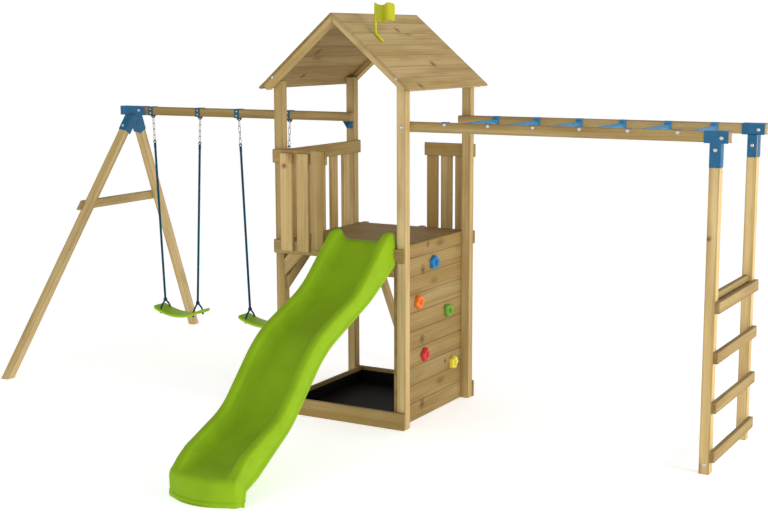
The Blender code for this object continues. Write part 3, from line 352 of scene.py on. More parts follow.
class Recipe:
    """One material or surround, written as expressions that end in its shader's sockets."""

    def __init__(self, holder, shader="Principled BSDF", **fixed):
        holder.use_nodes = True
        self.holder = holder
        self.nodes, self.links = holder.node_tree.nodes, holder.node_tree.links
        self.shader = self.nodes[shader]
        for key, value in fixed.items():
            self.shader.inputs[key.replace("_", " ")].default_value = value

    def node(self, kind, settings=None, sockets=None):
        made = self.nodes.new("ShaderNode" + kind)
        for key, value in (settings or {}).items():
            if key == "stops":
                made.color_ramp.interpolation = "EASE"
                for stop, (at, colour) in zip(made.color_ramp.elements, value):
                    stop.position, stop.color = at, (*colour, 1.0)
            else:
                setattr(made, key, value)
        for key, value in (sockets or {}).items():
            if isinstance(value, Wire):
                self.links.new(value.socket, made.inputs[key])
            else:
                made.inputs[key].default_value = value
        return made

    def wire(self, node, key=0):
        return Wire(self, node.outputs[key])

    def math(self, operation, *values):
        return self.wire(self.node("Math", {"operation": operation}, dict(enumerate(values))))

    def vector(self, operation, *values, key=0):
        return self.wire(self.node("VectorMath", {"operation": operation}, dict(enumerate(values))), key)

    def split(self, vector):
        made = self.node("SeparateXYZ", None, {0: vector})
        return [self.wire(made, k) for k in range(3)]

    def join(self, x, y, z):
        return self.wire(self.node("CombineXYZ", None, {0: x, 1: y, 2: z}))

    def field(self, name):
        return self.wire(self.node("Attribute", {"attribute_name": name}), "Vector")

    def place(self):
        return self.wire(self.node("TexCoord"), "Object")

    def noise(self, vector, scale, detail=3.0, rough=0.55, warp=0.0):
        return self.wire(self.node("TexNoise", None, {"Vector": vector, "Scale": scale, "Detail": detail,
                                                      "Roughness": rough, "Distortion": warp}))

    def step(self, value, low, high):
        """0 below low, 1 above high, eased between."""
        return self.wire(self.node("MapRange", {"interpolation_type": "SMOOTHSTEP"},
                                   {"Value": value, "From Min": low, "From Max": high}))

    def mix(self, share, one, two, blend="MIX"):
        one, two = (v if isinstance(v, Wire) else (*v, 1.0) for v in (one, two))
        made = self.node("Mix", {"data_type": "RGBA", "blend_type": blend}, {0: share, 6: one, 7: two})
        return self.wire(made, 2)

    def bump(self, height, distance, strength):
        sockets = {"Height": height, "Distance": distance, "Strength": strength}
        return self.wire(self.node("Bump", None, sockets))

    def done(self, **sockets):
        for key, value in sockets.items():
            self.links.new(value.socket, self.shader.inputs[key.replace("_", " ")])
        return self.holder


def material(name, **fixed):
    """A recipe for a new material."""
    return Recipe(bpy.data.materials.new(name), **fixed)


def linear(colour):
    """Linear values of a colour given in 0-255 screen values."""
    share = rows(colour) / 255
    return tuple(np.where(share <= 0.04045, share / 12.92, ((share + 0.055) / 1.055) ** 2.4))


def shaded(colour, factor, lift=0.0):
    """A linear colour made darker or lighter."""
    return tuple(min(c * factor + lift, 1.0) for c in colour)


def wood_finish(look):
    """Sawn, treated softwood: growth rings round a pith beside the board, look.ring_width apart, seen
    as long streaks on the faces and arcs on the ends; broad bands of sapwood; knots with a brown halo
    that bend the streaks; darker eased edges and ends; and a tone for each piece, its own on most pieces
    and painted shade on the deck and the roof's left slope."""
    r = material("softwood", Specular_IOR_Level=0.28)
    along, across, through = r.split(r.field("grain"))
    chance, tone_and_painted_shade, edge = r.split(r.field("lot"))
    # Chance knots, in stretched cells of which few are taken
    spot = r.join(along * 3.6, across * 9.0 + chance * 31.0, through * 2.0 + chance * 7.0)
    cell = r.node("TexVoronoi", None, {"Vector": spot, "Scale": 1.0, "Randomness": 0.8})
    rare = r.step(r.split(r.wire(cell, "Color"))[0], 0.74, 0.78)
    reach = r.wire(cell, "Distance")
    # Plain knots, their outlines swayed by a noise of mean 0.5
    sway = 0.022
    noise = r.node("TexNoise", None, {"Vector": r.place(), "Scale": 26.0, "Detail": 3.0})
    bent = r.vector("MULTIPLY_ADD", r.wire(noise, "Color"), (sway, sway, sway), r.place())
    known = None
    for x, y, z, radius in KNOTS:
        middle = tuple(rows((x, y, z)) + MIDDLE + sway / 2)
        gap = r.vector("DISTANCE", bent, middle, key="Value") / radius
        known = gap if known is None else r.math("MINIMUM", known, gap)
    knot = r.math("MAXIMUM", (1 - r.step(reach, 0.03, 0.085)) * rare, 1 - r.step(known, 0.30, 1.0))
    halo = r.math("MAXIMUM", (1 - r.step(reach, 0.05, 0.36)) * rare, (1 - r.step(known, 0.7, 2.8)) * 0.9)
    drift = r.noise(r.join(along * 0.9, across * 7.0, chance * 40.0), 1.0, 2.0, 0.5)
    side = across + (chance - 0.5) * 0.12
    deep = through + 0.045 + chance * 0.06
    ring = r.math("SQRT", side * side + deep * deep) + drift * 0.020 + halo * 0.014
    late = r.step(r.math("SINE", ring * (2 * pi / look.ring_width)), 0.10, 1.0)
    band = r.noise(r.join(along * 0.5 + chance * 5.0, ring * 38.0, chance * 17.0), 1.0, 2.0, 0.5)
    fibre = r.noise(r.join(along * 7.0, across * 360.0, through * 360.0), 1.0, 3.0, 0.6)
    cloud = r.noise(r.join(along * 2.2 + chance * 9.0, across * 14.0, through * 14.0), 1.0, 3.0, 0.55)
    dark = linear(look.wood_dark)
    tone = r.mix(r.step(band, 0.34, 0.66), linear(look.wood_pale), linear(look.wood_mid))
    tone = r.mix(r.step(cloud, 0.42, 0.78) * 0.40, tone, dark)
    tone = r.mix(late * 0.24, tone, dark)
    tone = r.mix(r.step(fibre, 0.50, 0.78) * 0.16, tone, dark)
    tone = r.mix(r.step(chance, 0.1, 1.0) * 0.28, tone, linear(look.wood_warm))
    tone = r.mix(halo * 0.65, tone, linear((124, 84, 38)))
    tone = r.mix(knot * 0.80, tone, linear((82, 50, 22)))
    # Each piece's tone: its own on most pieces, painted shade on the deck and the roof's left slope.
    tone = r.mix(1.0, tone, r.mix(tone_and_painted_shade, (0.42, 0.380, 0.25), (1.0, 1.0, 1.0)), "MULTIPLY")
    tone = r.mix(edge * (0.12 + cloud * 0.24), tone, (0.10, 0.06, 0.03))
    rough = 0.64 + late * 0.08 + fibre * 0.10 - knot * 0.18
    height = late * 0.4 + fibre * 0.8 - knot * 0.5
    return r.done(Base_Color=tone, Roughness=rough, Normal=r.bump(height, 0.0007, 0.5))


def moulded_finish(name, colour, shine=0.38, depth=0.00012, fine=900.0, mottle=0.06, gloss=0.32):
    """Moulded plastic: a fine pebble, faint cloudiness in its colour and a soft gloss."""
    r = material(name, Specular_IOR_Level=gloss)
    place = r.place()
    pebble = r.noise(place, fine, 2.0, 0.5)
    cloud = r.noise(place, 7.0, 3.0, 0.5)
    base = linear(colour)
    tone = r.mix(r.step(cloud, 0.25, 0.75), shaded(base, 1 - mottle), shaded(base, 1 + mottle))
    scuff = r.noise(r.vector("MULTIPLY", place, (40, 12, 40)), 1.0, 4.0, 0.7)
    rough = shine + r.step(scuff, 0.55, 0.8) * 0.10 + pebble * 0.04
    return r.done(Base_Color=tone, Roughness=rough, Normal=r.bump(pebble, depth, 0.6))


def coated_finish(name, colour, shine=0.42):
    """Powder-coated steel: orange-peel bump, slightly duller in patches."""
    r = material(name, Specular_IOR_Level=0.35)
    place = r.place()
    peel = r.noise(place, 620.0, 2.0, 0.5)
    patch = r.noise(place, 22.0, 4.0, 0.6)
    base = linear(colour)
    tone = r.mix(r.step(patch, 0.35, 0.75), shaded(base, 0.86), shaded(base, 1.10))
    return r.done(Base_Color=tone, Roughness=shine + patch * 0.12, Normal=r.bump(peel, 0.00015, 0.5))


def zinc_finish(name, colour):
    """Bright zinc: pale metal with a faint spangle and dull spots."""
    r = material(name, Metallic=0.9)
    place = r.place()
    flake = r.node("TexVoronoi", None, {"Vector": place, "Scale": 260.0})
    shade = r.split(r.wire(flake, "Color"))[0]
    dull = r.noise(place, 70.0, 3.0, 0.6)
    base = linear(colour)
    tone = r.mix(shade * 0.5, base, shaded(base, 0.72))
    return r.done(Base_Color=tone, Roughness=0.24 + shade * 0.12 + r.step(dull, 0.5, 0.8) * 0.22)


def rope_finish(look):
    """Laid rope: three strands wound at look.rope_lay, each of fine yarns, with painted shade in the lay's
    furrows and a painted highlight on the raised yarns.
    """
    r = material("rope", Specular_IOR_Level=0.15)
    along, turn, _ = r.split(r.field("grain"))
    lay = 2 * pi * 3.0 / look.rope_lay
    furrow_depth_and_shade = r.math("COSINE", turn * 3.0 + along * lay) * 0.5 + 0.5
    yarn_rise_and_highlight = r.math("SINE", turn * 24.0 - along * (3.0 * lay)) * 0.5 + 0.5
    fuzz = r.noise(r.join(along * 90.0, turn * 6.0, 0.0), 1.0, 3.0, 0.6)
    base = linear(look.rope_colour)
    # Painted shade: the lay's furrows are darkened.
    tone = r.mix(furrow_depth_and_shade, shaded(base, 0.45), base)
    # Painted highlight on the raised yarns; the fuzz lightens fibres at random.
    tone = r.mix(yarn_rise_and_highlight * 0.20 + fuzz * 0.15, tone, shaded(base, 1.6, 0.005))
    bump = r.bump(yarn_rise_and_highlight + furrow_depth_and_shade * 1.5, 0.0007, 0.6)
    return r.done(Base_Color=tone, Roughness=0.60 + fuzz * 0.2, Normal=bump)


def sheet_finish():
    """Black woven ground sheet: a fine weave, dust in low places and long soft creases."""
    r = material("ground_sheet", Specular_IOR_Level=0.12)
    x, y, z = r.split(r.place())
    weave = r.math("SINE", x * 2400.0) * r.math("SINE", y * 2400.0)
    crease = r.noise(r.join(x * 2.2, y * 5.0, z), 1.0, 4.0, 0.5, 0.6)
    dust = r.noise(r.join(x * 6.0, y * 6.0, z * 6.0), 1.0, 5.0, 0.65)
    tone = r.mix(r.step(dust, 0.45, 0.85), linear((6, 4, 6)), linear((14, 12, 14)))
    bump = r.bump(crease * 12.0 + weave * 0.3, 0.002, 0.5)
    return r.done(Base_Color=tone, Roughness=0.52 + dust * 0.2, Normal=bump)


def floor_finish(look):
    """A pale seamless floor with the faintest unevenness of tone."""
    r = material("studio_floor", Specular_IOR_Level=0.1, Emission_Color=(1.0, 1.0, 1.0, 1.0),
                 Emission_Strength=0.47)
    cloud = r.noise(r.place(), 0.4, 2.0, 0.5)
    base = linear(look.floor_colour)
    return r.done(Base_Color=r.mix(cloud * 0.3, base, shaded(base, 0.99)), Roughness=0.9 + cloud * 0.05)


RECIPES = {
    "wood": wood_finish,
    "slide": lambda look: moulded_finish("slide_plastic", look.slide_colour, 0.55, 0.0002, 500.0, gloss=0.12),
    "seat": lambda look: moulded_finish("seat_plastic", look.seat_colour, 0.45, 0.0003, 420.0, gloss=0.15),
    "flag": lambda look: moulded_finish("flag_plastic", look.flag_colour, 0.42),
    "steel": lambda look: coated_finish("coated_steel", look.steel_colour),
    "bar": lambda look: coated_finish("coated_bar", (52, 124, 168)),
    "strap": lambda look: coated_finish("coated_strap", look.strap_colour, 0.38),
    "dark": lambda look: coated_finish("dark_steel", (26, 28, 30), 0.5),
    "chain": lambda look: zinc_finish("chain_zinc", (150, 146, 142)),
    "bolt": lambda look: zinc_finish("bolt_zinc", (196, 198, 200)),
    "screw": lambda look: zinc_finish("screw_zinc", (112, 104, 90)),
    "rope": rope_finish,
    "sheet": lambda look: sheet_finish(),
    "floor": floor_finish,
}
FINISHES = {}


def finish(name):
    """The named finish, made once from the panel's settings."""
    if name not in FINISHES:
        if name in HOLDS:
            FINISHES[name] = moulded_finish(name, HOLDS[name][-1], 0.5, 0.0006, 260.0, mottle=0.10)
        else:
            FINISHES[name] = RECIPES[name](bpy.context.scene.tower_look)
    return FINISHES[name]


def dress(node, name):
    """Gives a carried-over node its finish."""
    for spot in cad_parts[node].material_slots:
        spot.material = finish(name)


# Settings: colours are screen values
SCREEN = {"min": 0, "max": 255}


class PLAYTOWER_PG_look(bpy.types.PropertyGroup):
    """Colours and fine sizes that a user would change."""

    wood_pale: IntVectorProperty(name="Pale wood", description="Early wood",
                                 default=(214, 190, 138), **SCREEN)
    wood_mid: IntVectorProperty(name="Middle wood", description="Most of a board",
                                default=(193, 164, 104), **SCREEN)
    wood_dark: IntVectorProperty(name="Dark wood", description="Late wood streaks",
                                 default=(140, 108, 56), **SCREEN)
    wood_warm: IntVectorProperty(name="Warm wood", description="Tint of the warmer boards",
                                 default=(188, 150, 84), **SCREEN)
    ring_width: FloatProperty(name="Ring width", description="Distance between growth rings",
                              default=0.0075, min=0.002, max=0.03, unit="LENGTH")
    slide_colour: IntVectorProperty(name="Slide", description="Slide plastic",
                                    default=(134, 172, 22), **SCREEN)
    seat_colour: IntVectorProperty(name="Seats", description="Seat plastic", default=(152, 194, 22), **SCREEN)
    flag_colour: IntVectorProperty(name="Flag", description="Flag plastic", default=(180, 182, 10), **SCREEN)
    steel_colour: IntVectorProperty(name="Brackets", description="Coated steel",
                                    default=(10, 92, 130), **SCREEN)
    strap_colour: IntVectorProperty(name="Straps", description="Beam straps", default=(14, 80, 98), **SCREEN)
    rope_colour: IntVectorProperty(name="Rope", description="Rope fibre", default=(0, 74, 98), **SCREEN)
    rope_lay: FloatProperty(name="Rope lay", description="Length of one full turn of a strand",
                            default=ROPE_LAY, min=0.02, max=0.2, unit="LENGTH")
    floor_colour: IntVectorProperty(name="Floor", description="Studio floor",
                                    default=(250, 250, 250), **SCREEN)


class PLAYTOWER_PG_sizes(bpy.types.PropertyGroup):
    """Fine sizes of the fittings, which leave the frame's sizes alone."""

    rope: FloatProperty(name="Rope", description="Rope diameter",
                        default=0.018, min=0.012, max=0.020, unit="LENGTH")
    bolt: FloatProperty(name="Bolt head", description="Radius of a coach bolt's head",
                        default=0.0120, min=0.006, max=0.014, unit="LENGTH")
    screw: FloatProperty(name="Screw head", description="Radius of a screw head",
                         default=0.0038, min=0.003, max=0.007, unit="LENGTH")


class Builder:
    """Shared base of the operators."""

    bl_options = {"REGISTER", "UNDO"}


class PLAYTOWER_OT_posts(Builder, bpy.types.Operator):
    """Posts, end boards and braces of the tower."""

    bl_idname = "playtower.posts"
    bl_label = "Posts and boards"

    def execute(self, context):
        for node, tone in (("post_front_left", 0.46), ("post_front_right", 0.86),
                           ("post_back_left", 0.46), ("post_back_right", 0.70)):
            straight(node, 2, tone)
        for node in ("fascia_front", "fascia_back", "sandbox_front", "sandbox_back"):
            straight(node, 0, 0.30, "board")
        straight("sandbox_left", 1, 0.30, "board")
        for node, across, out, tilt in (("brace_front", X, Y, 46), ("brace_left", Y, X, 34.5)):
            low, high = span(node)
            tilt = radians(tilt)
            half = BRACE_W / cos(tilt) / 2
            start = (low @ across) * across + ((low + high) / 2 @ out) * out + (low[2] + half) * Z
            end = start + (cos(tilt) * across + sin(tilt) * Z) * 0.5
            shape = plank(Shape(), start, end, out, BRACE_W, BOARD,
                          cuts=((start, across), (high, Z)), tone=0.5)
            shape.timber(node, "board")
        return {"FINISHED"}


class PLAYTOWER_OT_deck(Builder, bpy.types.Operator):
    """Deck boards with the joists under them."""

    bl_idname = "playtower.deck"
    bl_label = "Deck"

    def execute(self, context):
        low, high = span("deck")
        end, under = HY - INSET, DECK - BOARD - 0.0002
        shape = Shape()
        # The boards' low tone, 0.22, is painted shade: the roof's shadow on the deck.
        for k in range(10):
            start = -HY + k * DECK_PITCH
            beam(shape, (low[0] + INSET, start, DECK - BOARD),
                 (high[0], start + DECK_PITCH - DECK_GAP, DECK), 0, tone=0.22)
        beam(shape, (low[0], -end, DECK - BOARD_W), (low[0] + BOARD, end, under), 1)
        for share in JOIST_AT:
            x = share * 2 * HX
            beam(shape, (x - JOIST / 2, -end, DECK - BOARD - POST), (x + JOIST / 2, end, under), 1)
        shape.timber("deck", "boards")
        return {"FINISHED"}


class PLAYTOWER_OT_guards(Builder, bpy.types.Operator):
    """Guard rails with their slats, front, back and left."""

    bl_idname = "playtower.guards"
    bl_label = "Guards"

    def execute(self, context):
        low, top = DECK - 0.070, GUARD - 0.020
        front = []
        for share, up, tone in zip(SLAT_AT, (0, 0, 0.022), (0.95, 0.72, 0.34)):
            left = -HX + share * PANEL
            front.append((left, left + SLAT_W * PANEL, low + up, top + up, tone))
        back = [(left + 0.009, left + 0.096, low + 0.012, top, 0.66)
                for left in (BACK_PANEL + 0.1125 * k for k in range(3))]
        for node, sign, ends, slats in (("guard_front", -1, (-HX - 0.005, -HX + PANEL), front),
                                        ("guard_back", 1, (BACK_PANEL, HX + 0.005), back)):
            shape = Shape()
            near, far = sorted((sign * FACE_Y, sign * (FACE_Y + BOARD)))
            beam(shape, (ends[0], near, GUARD - BOARD_W), (ends[1], far, GUARD), 0, tone=0.5)
            near, far = sorted((sign * SLAT_Y, sign * (SLAT_Y + BOARD)))
            for left, right, foot, head, tone in slats:
                beam(shape, (left, near, foot), (right, far, head), 2, tone=tone)
            shape.timber(node, "boards")
        shape = Shape()
        beam(shape, (-IX + GAP, -HY, GUARD - BOARD_W), (-IX + GAP + BOARD, HY, GUARD), 1, tone=0.14)
        pitch = (2 * IY - 0.049) / 5
        for k in range(5):
            middle = (k - 2) * pitch
            beam(shape, (-IX - BOARD, middle - 0.0445, low), (-IX, middle + 0.0445, top), 2, tone=0.55)
        shape.timber("guard_left", "boards")
        return {"FINISHED"}


class PLAYTOWER_OT_roof(Builder, bpy.types.Operator):
    """Gable roof: two slopes of boards on two pairs of rafters."""

    bl_idname = "playtower.roof"
    bl_label = "Roof"

    def execute(self, context):
        verge = FACE_Y + POST + 0.005
        width, mitre = ROOF_LENGTH / 7, ROOF_T * tan(PITCH)
        # The left slope's low tone is painted shade: its underside is seen, in the roof's own shade.
        for sign, node, tone in ((-1, "roof_left", 0.22), (1, "roof_right", 0.62)):
            down, out = slope(sign)
            shape = Shape()
            for k in range(7):
                middle, room = RIDGE * Z + down * (width * (k + 0.5)) - out * (ROOF_T / 2), 0.0005
                if k == 0:
                    middle, room = middle + down * (mitre / 2), mitre
                plank(shape, middle - verge * Y, middle + verge * Y, out, width - room, ROOF_T,
                      ease=0.002, tone=tone)
            shape.timber(node, "boards")
        for node, end in (("rafters_front", -1), ("rafters_back", 1)):
            shape = Shape()
            for sign in (-1, 1):
                down, out = slope(sign)
                head = RIDGE * Z + end * (FACE_Y + POST / 2) * Y - out * (ROOF_T + GAP + JOIST / 2)
                plank(shape, head, head + down * (ROOF_LENGTH - 0.0335), out, POST, JOIST,
                      cuts=((head * [0, 1, 1], X), None), tone=0.7)
            shape.timber(node)
        return {"FINISHED"}


class PLAYTOWER_OT_wall(Builder, bpy.types.Operator):
    """Climbing wall of level boards with five moulded holds."""

    bl_idname = "playtower.wall"
    bl_label = "Climbing wall"

    def execute(self, context):
        shape, seam = Shape(), 0.0004
        for k in range(10):
            top = DECK if k == 9 else WALL_PITCH * (k + 1)
            beam(shape, (IX - GAP - WALL_T, -HY, WALL_PITCH * k + seam), (IX - GAP, HY, top - seam), 1,
                 ease=0.0022, tone=0.22)
        shape.timber("climbing_wall", "boards")
        for name, (across, height, lobes, turn, _) in HOLDS.items():
            self.hold(name, rows((IX, across * HY, height * DECK)), lobes, turn)
        return {"FINISHED"}

    def hold(self, name, place, lobes, turn):
        """A lobed grip: its radius and height follow a half profile, swelled by sines round it."""
        level = np.linspace(0, 1, 26)
        at = [0, 0.08, 0.34, 0.54, 0.68, 0.80, 0.90, 1.0]
        radius = np.interp(level, at, [1.0, 1.03, 0.98, 0.86, 0.70, 0.50, 0.38, 0.30])[:, None]
        height = np.interp(level, at, [0.0, 0.30, 0.68, 0.90, 1.0, 0.84, 0.52, 0.34])[:, None]
        around = turns(56)
        reach = 0.0425 * radius * (1 + 0.12 * np.sin(lobes * around + turn) * np.minimum(radius * 1.3, 1))
        lift = 0.035 * height * (1 + 0.12 * np.cos(around - turn) * radius)
        points = place + np.stack([lift, reach * np.cos(around), reach * np.sin(around)], axis=-1)
        Shape().add(points, capped(26, 56)).piece(f"{name}_grip", name, name, [name])


class PLAYTOWER_OT_sandbox(Builder, bpy.types.Operator):
    """Ground sheet in the sandbox."""

    bl_idname = "playtower.sandbox"
    bl_label = "Sandbox sheet"

    def execute(self, context):
        dress("sandbox_liner", "sheet")
        return {"FINISHED"}


class PLAYTOWER_OT_ladder(Builder, bpy.types.Operator):
    """Raking ladder up to the back of the deck."""

    bl_idname = "playtower.ladder"
    bl_label = "Back ladder"

    def execute(self, context):
        tilt = radians(30)
        along = sin(tilt) * Y - cos(tilt) * Z
        up = cos(tilt) * Y + sin(tilt) * Z
        left, right, start = -IX + INSET, BACK_PANEL - 0.029, HY + 0.005
        shape = Shape()
        for x in (left + JOIST / 2, right - JOIST / 2):
            head = x * X + start * Y + DECK * Z + up * (POST / 2)
            foot = head + along * (DECK / cos(tilt))
            plank(shape, head - along * 0.02, foot, up, JOIST, POST,
                  cuts=((DECK * Z, Z), (0 * Z, Z)), tone=0.6)
        for share in (0.1217, 0.3688, 0.6159, 0.8630):
            z = share * DECK
            point = (start + tan(tilt) * (DECK - z)) * Y + z * Z + up * (POST + FLAT / 2)
            plank(shape, point + left * X, point + right * X, up, FLAT_W, FLAT)
        shape.keep_y(low=SLAT_Y)
        shape.timber("back_ladder")
        return {"FINISHED"}


class PLAYTOWER_OT_slide(Builder, bpy.types.Operator):
    """Moulded slide."""

    bl_idname = "playtower.slide"
    bl_label = "Slide"

    # Corners below the lip: shares of the run and of the fall, and the radius of the bend
    BED = ((0.1861, 0.2512, 0.80), (0.4625, 0.4292, 0.70), (0.6655, 0.7411, 0.55),
           (0.866, 0.8474, 0.30), (0.977, 0.884, 0.045), (1.0, 1.020, 0))
    HEM = ((0.1667, 0.2573, 0.80), (0.4617, 0.4400, 0.70), (0.6694, 0.7403, 0.55),
           (0.866, 0.8990, 0.20), (0.934, 0.931, 0.020), (0.950, 1.020, 0))
    RUN, WALL, CREST = 1.830, 0.085, 0.168

    def execute(self, context):
        lip, head, middle = -(SLAT_Y - 0.0016), DECK + 0.032, HX - 0.313
        bed = [(lip + 0.068, head - 0.060, 0), (lip + 0.065, head, 0.020), (lip, head, 0.050)]
        hem = [(lip + 0.110, head - 0.108, 0), (lip + 0.072, head - 0.112, 0), (lip + 0.012, head - 0.130, 0)]
        for line, corners in ((bed, self.BED), (hem, self.HEM)):
            line += [(lip - self.RUN * r, head * (1 - d), b) for r, d, b in corners]
        t, bed = self.bends(bed)
        _, hem = self.bends(hem)
        ahead = np.gradient(bed, axis=0)
        up = np.stack([ahead[:, 1], -ahead[:, 0]], axis=1) / np.linalg.norm(ahead, axis=1)[:, None]
        wall = self.WALL * self.eased((0, 0, 0.80, 0.88, 1, 1, 0.88, 0, 0), t)
        rise = np.clip((t - 1.17) / 0.66, 0, 1)
        wall = np.where(t < 2, self.WALL * 0.80 * np.sqrt(1 - (1 - rise) ** 2), wall)[:, None]
        bow = 0.045 * np.maximum(t - 6.5, 0) / 1.5
        wide = self.eased((0.240, 0.240, 0.250, 0.250), np.clip(t - 4, 0, 2.9))
        across, share, down, flange = self.section()
        y = bed[:, :1] + up[:, :1] * wall * share + bow[:, None] * (across / self.CREST) ** 2
        z = bed[:, 1:] + up[:, 1:] * wall * share
        sides = []
        x = np.broadcast_to(across, y.shape)
        for line, end in ((x, wide), (y, hem[:, 0] + bow * 0.4), (z, hem[:, 1])):
            edge = line[:, -1:]
            sides.append(np.concatenate([line, edge + (end[:, None] - edge) * down], axis=1))
        x, y, z = sides
        x[:, -len(flange):] += flange
        x = np.concatenate([-x[:, :0:-1], x], axis=1) + middle
        y, z = (np.concatenate([v[:, :0:-1], v], axis=1) for v in (y, z))
        # The lip lies on the deck, and what is below it stays in front of the tower
        front = -SLAT_Y - 0.0006
        behind = y > front
        z = np.where(behind & (z > DECK - 0.03), np.maximum(z, DECK + 0.0046), z)
        y = np.where(behind & (z < DECK), front, y)
        z = np.maximum(z, 0.0044)
        # The nose stays in the frame's box; a hem stands out round its foot
        nose = np.clip((t - 5.8) / 1.2, 0, 1)[:, None]
        nose = nose * nose * (3 - 2 * nose)
        roll = np.clip((0.030 - z) / 0.004, 0, 1) * (t > 7)[:, None]
        y = y + 0.0125 * nose - 0.0060 * roll
        shape = Shape().add(np.stack([x, y, z], axis=-1), net(*x.shape, close_wide=False))
        skin = shape.piece("slide_moulded", "slide", "slide", ["slide"]).modifiers.new("Wall", "SOLIDIFY")
        skin.thickness, skin.offset = 0.0042, -1
        return {"FINISHED"}

    def eased(self, values, t):
        """Values along a list, with a cosine ease between neighbours."""
        values = rows(values)
        i = np.clip(t.astype(int), 0, len(values) - 2)
        share = (1 - np.cos(pi * (t - i))) / 2
        return values[i] * (1 - share) + values[i + 1] * share

    def bends(self, corners):
        """Stations and (y, z) points down a line of corners, each corner turned by a parabola that
        leaves its two straights at radius x tan(half the turn)."""
        corners = rows(corners)
        spots = corners[:, :2]
        ways = np.diff(spots, axis=0)
        runs = np.linalg.norm(ways, axis=1)
        ways = ways / runs[:, None]
        turn = np.arccos(np.clip(np.sum(ways[:-1] * ways[1:], axis=1), -1, 1))
        reach = np.maximum(corners[1:-1, 2] * np.tan(turn / 2), 0.012)
        reach = np.minimum(reach, 0.45 * np.minimum(runs[:-1], runs[1:]))[:, None, None]
        here = spots[1:-1, None]
        s = np.linspace(0, 1, 13)[None, :, None]
        first, last = here - ways[:-1, None] * reach, here + ways[1:, None] * reach
        arcs = first * (1 - s) ** 2 + here * 2 * s * (1 - s) + last * s * s
        end = len(spots) - 1
        at = np.arange(1, end)[:, None] + 0.36 * (s[0, :, 0] - 0.5)[None]
        t = np.concatenate([[0], at.ravel(), [end]])
        points = np.concatenate([spots[:1], arcs.reshape(-1, 2), spots[-1:]])
        even, foot = np.linspace(0, end, 8 * end + 1), np.linspace(end - 0.7, end, 36)
        fine = np.unique(np.concatenate([t, even, foot]))
        return fine, np.stack([np.interp(fine, t, points[:, k]) for k in (0, 1)], axis=1)

    def section(self):
        """Half a cross section: (across, share of the wall's height) for a flat bed, an elliptic side
        and a round crest, then shares down the skirt with its hem flange's outward step."""
        a = np.radians(np.linspace(0, 84, 12))
        b = np.radians(np.linspace(150, 10, 14))
        side, crest = 0.094 + 0.074 * np.sin(a), self.CREST + 0.027 * (1 + np.cos(b))
        across = np.concatenate([[0, 0.03, 0.06], side, crest])
        share = np.concatenate([[0, 0, 0], 0.82 * (1 - np.cos(a)), 0.82 + 0.18 * np.sin(b)])
        down = np.array([0.12, 0.3, 0.5, 0.68, 0.78, 0.82, 0.86, 0.96, 1.0])
        flange = np.array([0.003, 0.004, 0.004, 0.003, 0.002, 0.0035, 0.0070, 0.0075, 0.0060])
        return across, share, down, flange


class PLAYTOWER_OT_swing_frame(Builder, bpy.types.Operator):
    """Swing beam, raking legs, their tie, the folded bracket and the tower's angle."""

    bl_idname = "playtower.swing_frame"
    bl_label = "Swing frame"

    def execute(self, context):
        straight("swing_beam", 0, 0.24)
        lean = atan2(LEG_OUT, BEAM_Z)
        down = -sin(lean) * X - cos(lean) * Z
        out = -cos(lean) * X + sin(lean) * Z
        apex = rows((BEAM_END + 0.105, BEAM_Y, BEAM_Z))
        rise = BEAM_Z / cos(lean)
        steep = LEG_SPREAD / rise
        level = 0.729 / cos(lean)
        base = apex + out * (POST / 2 + GAP + FLAT / 2) + down * level
        half = level * steep + POST / 2 * sqrt(1 + steep * steep) + 0.022
        cuts = []
        for sign, node in ((-1, "leg_front"), (1, "leg_back")):
            way = Y * sign * LEG_SPREAD + down * rise
            along = unit(way)
            shape = plank(Shape(), apex + along * 0.05, apex + along * 2.4, out, POST, POST,
                          cuts=(((RAIL - 0.0042) * Z, Z), (0 * Z, Z)), tone=0.92)
            cut = apex[1] + sign * 0.0021
            shape.keep_y(**{"low" if sign > 0 else "high": cut})
            shape.timber(node)
            cuts.append((base + sign * half * Y, np.cross(way, out)))
        tie = plank(Shape(), base - half * Y, base + half * Y, out, FLAT_W, FLAT, cuts=cuts, tone=0.6)
        tie.timber("leg_tie", "board")
        for node in ("swing_bracket", "beam_shoe"):
            dress(node, "steel")
        return {"FINISHED"}


